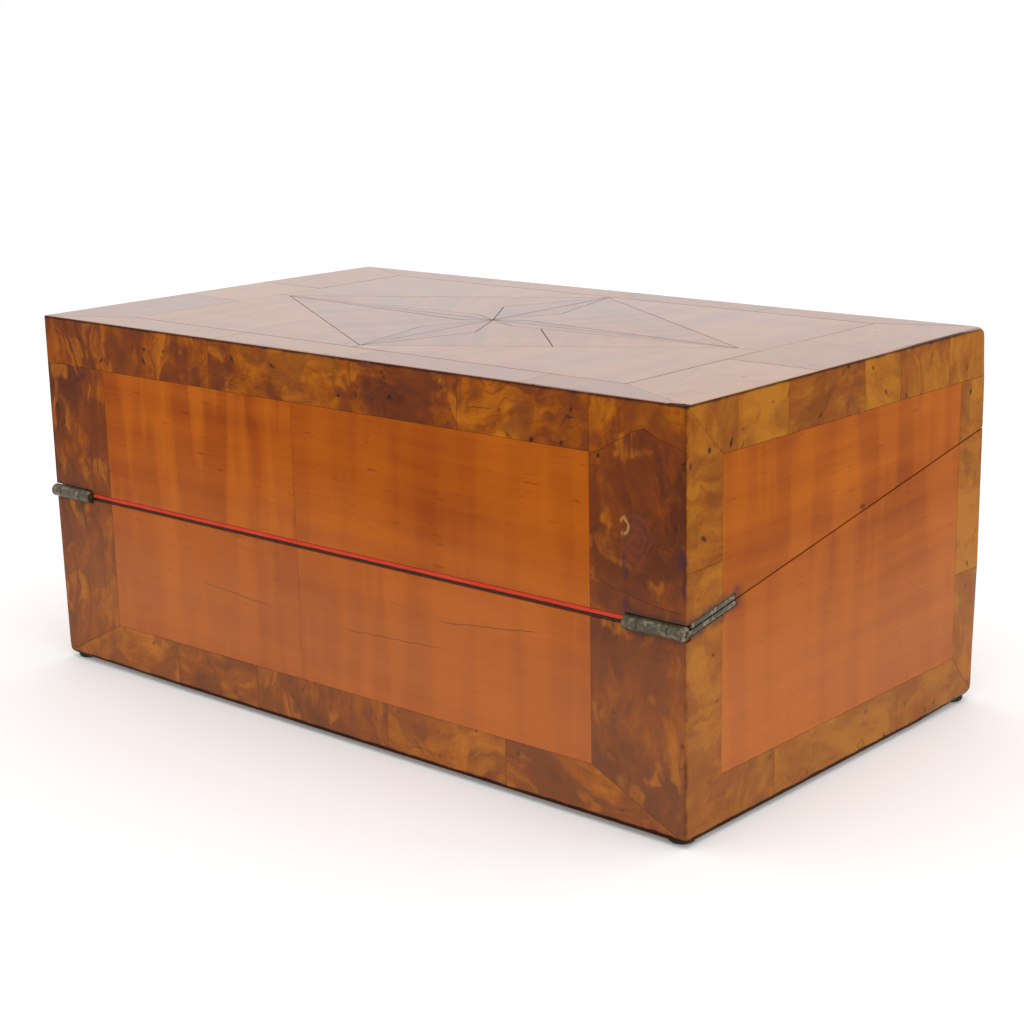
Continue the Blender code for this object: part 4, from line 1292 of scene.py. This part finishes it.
def screw_tree():
    """A slotted countersunk screw head on every point, each turned differently."""
    tree = bpy.data.node_groups.new("slotted_screws", "GeometryNodeTree")
    face = tree.interface
    face.new_socket("Geometry", in_out="INPUT", socket_type="NodeSocketGeometry")
    sizes = {"Head Radius": SCREW_HEAD_RADIUS, "Head Height": 1.2 * MM, "Slot Width": 0.7 * MM}
    for name, value in sizes.items():
        socket = face.new_socket(name, in_out="INPUT", socket_type="NodeSocketFloat")
        socket.default_value = value
    face.new_socket("Tilt", in_out="INPUT", socket_type="NodeSocketFloat")
    face.new_socket("Metal", in_out="INPUT", socket_type="NodeSocketMaterial")
    face.new_socket("Geometry", in_out="OUTPUT", socket_type="NodeSocketGeometry")

    def add(kind, settings=None, **links):
        node = tree.nodes.new(kind)
        for key, value in (settings or {}).items():
            setattr(node, key, value)
        for name, value in links.items():
            target = next(s for s in node.inputs if s.name == name.replace("_", " ") and s.enabled)
            if isinstance(value, bpy.types.NodeSocket):
                tree.links.new(value, target)
            else:
                target.default_value = value
        return node

    given = tree.nodes.new("NodeGroupInput").outputs
    head = add(
        "GeometryNodeMeshCone", None, Vertices=28, Radius_Top=given["Head Radius"],
        Radius_Bottom=1.0 * MM, Depth=given["Head Height"],
    )
    lowered = add("GeometryNodeTransform", None, Geometry=head.outputs["Mesh"])
    drop = add("ShaderNodeMath", {"operation": "MULTIPLY"})
    tree.links.new(given["Head Height"], drop.inputs[0])
    drop.inputs[1].default_value = -1.0
    place = add("ShaderNodeCombineXYZ", None, Z=drop.outputs[0])
    tree.links.new(place.outputs[0], lowered.inputs["Translation"])
    width = add("ShaderNodeCombineXYZ", None, X=given["Slot Width"], Y=12 * MM, Z=0.9 * MM)
    slot = add("GeometryNodeMeshCube")
    tree.links.new(width.outputs[0], slot.inputs["Size"])
    cut = add("GeometryNodeMeshBoolean", {"operation": "DIFFERENCE", "solver": "EXACT"})
    tree.links.new(lowered.outputs["Geometry"], cut.inputs["Mesh 1"])
    tree.links.new(slot.outputs["Mesh"], cut.inputs["Mesh 2"])
    number = add("GeometryNodeInputIndex")
    turn = add("FunctionNodeRandomValue", {"data_type": "FLOAT"})
    sockets = {s.identifier: s for s in turn.inputs}
    sockets["Max_001"].default_value = math.pi
    sockets["Seed"].default_value = 7
    tree.links.new(number.outputs[0], sockets["ID"])
    spun = next(s for s in turn.outputs if s.enabled)
    rotation = add("ShaderNodeCombineXYZ", None, Z=spun)
    points = add("GeometryNodeMeshToPoints", None, Mesh=given["Geometry"])
    stand = add(
        "GeometryNodeInstanceOnPoints", None, Points=points.outputs[0], Instance=cut.outputs[0]
    )
    lean = add("ShaderNodeCombineXYZ", None, X=given["Tilt"])
    tree.links.new(lean.outputs[0], stand.inputs["Rotation"])
    turned = add("GeometryNodeRotateInstances", None, Instances=stand.outputs[0])
    tree.links.new(rotation.outputs[0], turned.inputs["Rotation"])
    turned.inputs["Local Space"].default_value = True
    real = add("GeometryNodeRealizeInstances", None, Geometry=turned.outputs[0])
    painted = add(
        "GeometryNodeSetMaterial", None, Geometry=real.outputs[0], Material=given["Metal"]
    )
    last = tree.nodes.new("NodeGroupOutput")
    tree.links.new(painted.outputs[0], last.inputs[0])
    return tree


def make_screws(tree, name, points, body, tilt, replaced):
    """Screw heads at the points, their tops facing up from the tilt."""
    mesh = bpy.data.meshes.new(name)
    mesh.from_pydata([tuple(p) for p in points], [], [])
    obj = placed(name, mesh)
    modifier = obj.modifiers.new("screws", "NODES")
    modifier.node_group = tree
    values = {"Head Radius": SCREW_HEAD_RADIUS, "Tilt": tilt, "Metal": FINISHES["brass"]}
    for item in tree.interface.items_tree:
        if item.in_out == "INPUT" and item.name in values:
            modifier[item.identifier] = values[item.name]
    bake_modifiers(obj)
    settle(obj, body, replaced)
    return obj


def leaf_screw_points(body):
    """Where the screws sit in the hinge leaves of one body, with the nodes they stand for."""
    sign = INTO[body]
    middle = SKIN + WALL / 2
    above = sign * (SEAM / 2 + 0.12 * MM)
    points, nodes = [], []
    for side_name, side_sign in ENDS.items():
        spots = {
            "across": (HALF - LEAF_LENGTH + LEAF_WIDTH / 2, middle),
            "back": (HALF - middle, LEAF_REACH - LEAF_WIDTH / 2),
        }
        for arm, (x, along) in spots.items():
            points.append(slope_point(side_sign * x, along, above))
            nodes.append(f"{side_name}_{body}_leaf_screw_{arm}")
    return points, nodes


# ---- cloth


def cloth_grid(name, x_span, path, thickness, columns, ripple, body_call, flat, **declared):
    """A sheet swept along X whose section follows path, points of a slope's along and above."""
    bm = bmesh.new()
    grid_rows = []
    count = len(path)
    for step in range(columns + 1):
        x = x_span[0] + (x_span[1] - x_span[0]) * step / columns
        outer, inner = [], []
        for index, (along, above) in enumerate(path):
            before = Vector(path[max(0, index - 1)])
            after = Vector(path[min(count - 1, index + 1)])
            tangent = (after - before).normalized()
            normal = Vector((-tangent.y, tangent.x))
            wave = ripple * noise.noise(Vector((x * 90, along * 160, above * 300)))
            point = Vector((along, above)) + normal * wave
            outer.append(slope_point(x, *(point + normal * thickness / 2)))
            inner.append(slope_point(x, *(point - normal * thickness / 2)))
        grid_rows.append([bm.verts.new(p) for p in outer + inner[::-1]])
    for first, second in zip(grid_rows, grid_rows[1:]):
        bridge(bm, first, second)
    bm.faces.new(grid_rows[0][::-1])
    bm.faces.new(grid_rows[-1])
    bmesh.ops.recalc_face_normals(bm, faces=bm.faces)
    obj = make_piece(name, bm, ["cloth"], smooth_angle=50)
    body_call(obj)
    return obj


def make_flap_cloth(flap, body):
    """The glued cloth cover of the flap over a body's well."""
    node = f"{flap}_cloth"
    low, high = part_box(node)
    near = {"base": 11.5 * MM, "lid": 13.0 * MM}[body]
    length = (high[1] - low[1]) / math.cos(SLOPE) - 1.0 * MM
    rows = 60
    above = INTO[body] * (FLAP_SUNK + 0.45 * MM)
    path = [(near + length * k / rows, above) for k in range(rows + 1)]

    def place(obj):
        settle(obj, flap, (node,))

    width = high[0] - low[0]
    return cloth_grid(
        f"{flap}_cover", (low[0], high[0]), path, 0.7 * MM, 110, 0.06 * MM, place,
        (width, length), held="laid", rests_on=[f"{flap}_board"],
    )


def make_fold():
    """The strip of cloth that joins both flaps across the hinge line, folded in the joint."""
    half = HALF - BARREL_LENGTH - 0.8 * MM
    bend, reach = 1.35 * MM, 11.0 * MM
    offset = FOLD_HALF_HEIGHT - FOLD_LAYER / 2
    rows, turns = 10, 10
    lower, upper = FOLD_LIFT - offset, FOLD_LIFT + offset
    path = [(reach - (reach - bend) * k / rows, lower) for k in range(rows + 1)]
    for k in range(1, turns):
        angle = math.pi * k / turns
        path.append((bend - 0.85 * MM * math.sin(angle), FOLD_LIFT - offset * math.cos(angle)))
    path += [(bend + (reach - bend) * k / rows, upper) for k in range(rows + 1)]
    length = sum((Vector(a) - Vector(b)).length for a, b in zip(path, path[1:]))

    def place(obj):
        start = tuple(slope_point(0, 0, lower * 0.8))
        end = tuple(slope_point(0, 0, upper * 0.8))
        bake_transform(obj)
        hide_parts("hinge_fold_cloth")

    return cloth_grid(
        "hinge_fold", (-half, half), path, FOLD_LAYER, 150, 0.12 * MM, place,
        (2 * half, length), held="folded", rests_on=["base_front_wall", "lid_front_wall"],
    )


# ---- inside fittings


BOTTLE_SIDES = 48


def make_inkwell(side_name):
    """A square glass bottle with rounded shoulders, ink in it, and a ribbed brass cap."""
    low, high = (Vector(v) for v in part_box(f"{side_name}_inkwell"))
    centre = (low + high) / 2
    half = (high.x - low.x) / 2
    shoulder = low.z + 28 * MM
    neck = 8 * MM

    def squared(radius, power, angle):
        """Radius of a rounded square of half width radius in a direction."""
        c, s = abs(math.cos(angle)), abs(math.sin(angle))
        return radius / (c**power + s**power) ** (1 / power)

    def shell(bm, rings):
        rows = []
        for radius, power, z in rings:
            row = []
            for k in range(BOTTLE_SIDES):
                angle = 2 * math.pi * k / BOTTLE_SIDES
                r = squared(radius, power, angle)
                x, y = centre.x + r * math.cos(angle), centre.y + r * math.sin(angle)
                row.append(bm.verts.new((x, y, z)))
            rows.append(row)
        for first, second in zip(rows, rows[1:]):
            bridge(bm, first, second)
        bm.faces.new(rows[0][::-1])
        bm.faces.new(rows[-1])

    edge = 1.5 * MM
    wall = 3.0 * MM
    bm = bmesh.new()
    shell(bm, [
        (half - edge, 7, low.z), (half - 0.3 * MM, 7, low.z + 0.4 * edge), (half, 7, low.z + edge),
        (half, 7, shoulder - 4 * MM), (half - 0.8 * MM, 6, shoulder - 1.6 * MM),
        (half - 3.5 * MM, 4, shoulder - 0.3 * MM), (neck + 0.6 * MM, 2.2, shoulder),
        (neck, 2, shoulder + 0.6 * MM), (neck, 2, high.z - 0.5 * MM), (neck - 0.5 * MM, 2, high.z),
        (neck - 1.6 * MM, 2, high.z - 0.1 * MM), (neck - 1.6 * MM, 2, shoulder - 1.5 * MM),
        (half - wall, 5, shoulder - 4 * MM), (half - wall, 6, low.z + wall),
    ])
    bmesh.ops.recalc_face_normals(bm, faces=bm.faces)
    node = f"{side_name}_inkwell"
    make_piece(node + "_bottle", bm, ["glass"], "base", (node,), 40)
    bm = bmesh.new()
    inner = half - wall - 0.05 * MM
    shell(bm, [(inner, 6, low.z + wall + 0.05 * MM), (inner, 6, low.z + 11 * MM)])
    bmesh.ops.recalc_face_normals(bm, faces=bm.faces)
    make_piece(node + "_ink", bm, ["ink"], "base", (), 40)
    make_cap(side_name)


def make_cap(side_name):
    low, high = (Vector(v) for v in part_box(f"{side_name}_inkwell_cap"))
    centre = (low + high) / 2
    radius = (high.x - low.x) / 2
    tall = high.z - low.z
    inner = 8.3 * MM
    profile = [(inner, 0.0), (radius - 0.3 * MM, 0.0), (radius, 0.3 * MM)]
    ribs = 5
    for k in range(ribs):
        base = 1.0 * MM + k * 1.1 * MM
        profile += [(radius, base), (radius - 0.25 * MM, base + 0.3 * MM), (radius, base + 0.6 * MM)]
    profile += [
        (radius, tall - 1.2 * MM), (radius - 0.5 * MM, tall - 0.3 * MM), (radius - 1.4 * MM, tall),
        (radius * 0.5, tall - 0.25 * MM), (0.0, tall - 0.3 * MM),
    ]
    hollow = [(0.0, 5.6 * MM), (inner, 5.6 * MM), (inner, 0.0)]
    bm = bmesh.new()
    for outline in (profile, hollow):
        lathe(bm, outline, Matrix.Translation((centre.x, centre.y, low.z)), 48)
    bmesh.ops.remove_doubles(bm, verts=bm.verts, dist=0.001 * MM)
    bmesh.ops.recalc_face_normals(bm, faces=bm.faces)
    node = f"{side_name}_inkwell_cap"
    make_piece(node + "_turned", bm, ["cap"], "base", (node,), 40)


def make_feet():
    for side_name in ENDS:
        for row in ("front", "back"):
            node = f"{side_name}_{row}_foot"
            low, high = (Vector(v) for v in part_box(node))
            radius, tall = (high.x - low.x) / 2, high.z - low.z + 0.2 * MM
            profile = [
                (0.0, 0.0), (radius * 0.7, 0.0), (radius * 0.92, 0.25 * MM), (radius, 0.8 * MM),
                (radius, tall), (0.0, tall),
            ]
            middle = (low + high) / 2
            bm = bmesh.new()
            lathe(bm, profile, Matrix.Translation((middle.x, middle.y, low.z)), 32)
            make_piece(node + "_pad", bm, ["pad"], "base", (node,), 40)


def finish_nodes():
    """Materials and eased edges for the wooden pieces of the carcass and fittings."""
    carcass = {
        "carcass_x": ["base_bottom_board", "lid_top_board", "base_front_wall", "lid_front_wall",
                      "base_back_wall", "lid_back_wall", "upper_flap_board", "lower_flap_board"],
        "carcass_y": ["base_left_end", "base_right_end", "lid_left_end", "lid_right_end"],
    }
    for finish, nodes in carcass.items():
        for node in nodes:
            slots = frame["nodes"][node].material_slots
            for place in slots:
                place.material = FINISHES[finish]
    fittings = {
        "well_divider": ("fitting_x", "base"), "compartment_floor": ("fitting_x", "base"),
        "pen_tray": ("fitting_x", "base"), "left_ink_divider": ("fitting_y", "base"),
        "right_ink_divider": ("fitting_y", "base"), "base_left_flap_ledge": ("fitting_y", "base"),
        "base_right_flap_ledge": ("fitting_y", "base"), "lid_left_flap_ledge": ("fitting_y", "lid"),
        "lid_right_flap_ledge": ("fitting_y", "lid"),
    }
    for node, (finish, body) in fittings.items():
        refined(node, body, finish, 0.4 * MM)
    for node, body in (("lock_case", "base"), ("escutcheon", "base"), ("lock_striker", "lid")):
        refined(node, body, "brass", 0.15 * MM)
    refined("lock_bolt", "lock_bolt", "steel", 0.2 * MM)


# ---- studio


# Each softbox: name, place, size and watts
SOFTBOXES = (
    ("overhead_softbox", (0.5, -0.5, 1.5), 1.4, 3.0),
    ("side_softbox", (1.9, 0.1, 0.9), 1.2, 1.6),
)
LIT_PLACE = (0, 0, 0.1)
CAMERA_PLACE = (0.5618, MIDDLE_Y - 0.6237, BOTTOM + 0.2843)
CAMERA_TURN = (75.80, 1.11, 41.30)
CAMERA_LENS = 70.88
FLOOR_REACH = 12.0


def make_studio():
    mesh = bpy.data.meshes.new("studio_floor")
    corners = ((-1, -1), (1, -1), (1, 1), (-1, 1))
    mesh.from_pydata([(x * FLOOR_REACH, y * FLOOR_REACH, 0) for x, y in corners], [], [(0, 1, 2, 3)])
    mesh.materials.append(FINISHES["floor"])
    placed("studio_floor", mesh)

    world = bpy.data.worlds.new("studio")
    world.use_nodes = True
    sky = world.node_tree.nodes["Background"]
    sky.inputs["Color"].default_value = (1.0, 1.0, 1.0, 1.0)
    sky.inputs["Strength"].default_value = 1.0
    bpy.context.scene.world = world

    for name, place, size, watts in SOFTBOXES:
        lamp = bpy.data.lights.new(name, "AREA")
        lamp.shape = "RECTANGLE"
        lamp.size = lamp.size_y = size
        lamp.energy = watts
        obj = placed(name, lamp)
        obj.location = place
        aim = Vector(LIT_PLACE) - Vector(place)
        obj.rotation_euler = aim.to_track_quat("-Z", "Y").to_euler()

    lens = bpy.data.cameras.new("camera")
    lens.sensor_width = 36.0
    lens.lens = CAMERA_LENS
    lens.clip_start = 0.01
    camera = placed("camera", lens)
    camera.location = CAMERA_PLACE
    camera.rotation_euler = [math.radians(angle) for angle in CAMERA_TURN]
    bpy.context.scene.camera = camera
    bpy.context.scene.view_settings.view_transform = "Standard"


def main():
    for side_name in ("front", "back", "left", "right"):
        for body in INTO:
            make_veneer(side_name, body)
    make_veneer("top", "lid")
    for side_name in ENDS:
        for body in INTO:
            make_hinge_leaf(side_name, body)
        make_hinge_pin(side_name)
    tree = screw_tree()
    for body, tilt in (("base", SLOPE), ("lid", SLOPE + math.pi)):
        points, nodes = leaf_screw_points(body)
        make_screws(tree, f"{body}_leaf_screws", points, body, tilt, nodes)
    make_flap_cloth("upper_flap", "base")
    make_flap_cloth("lower_flap", "lid")
    make_fold()
    for side_name in ENDS:
        make_inkwell(side_name)
    make_feet()
    finish_nodes()
    make_studio()


main()
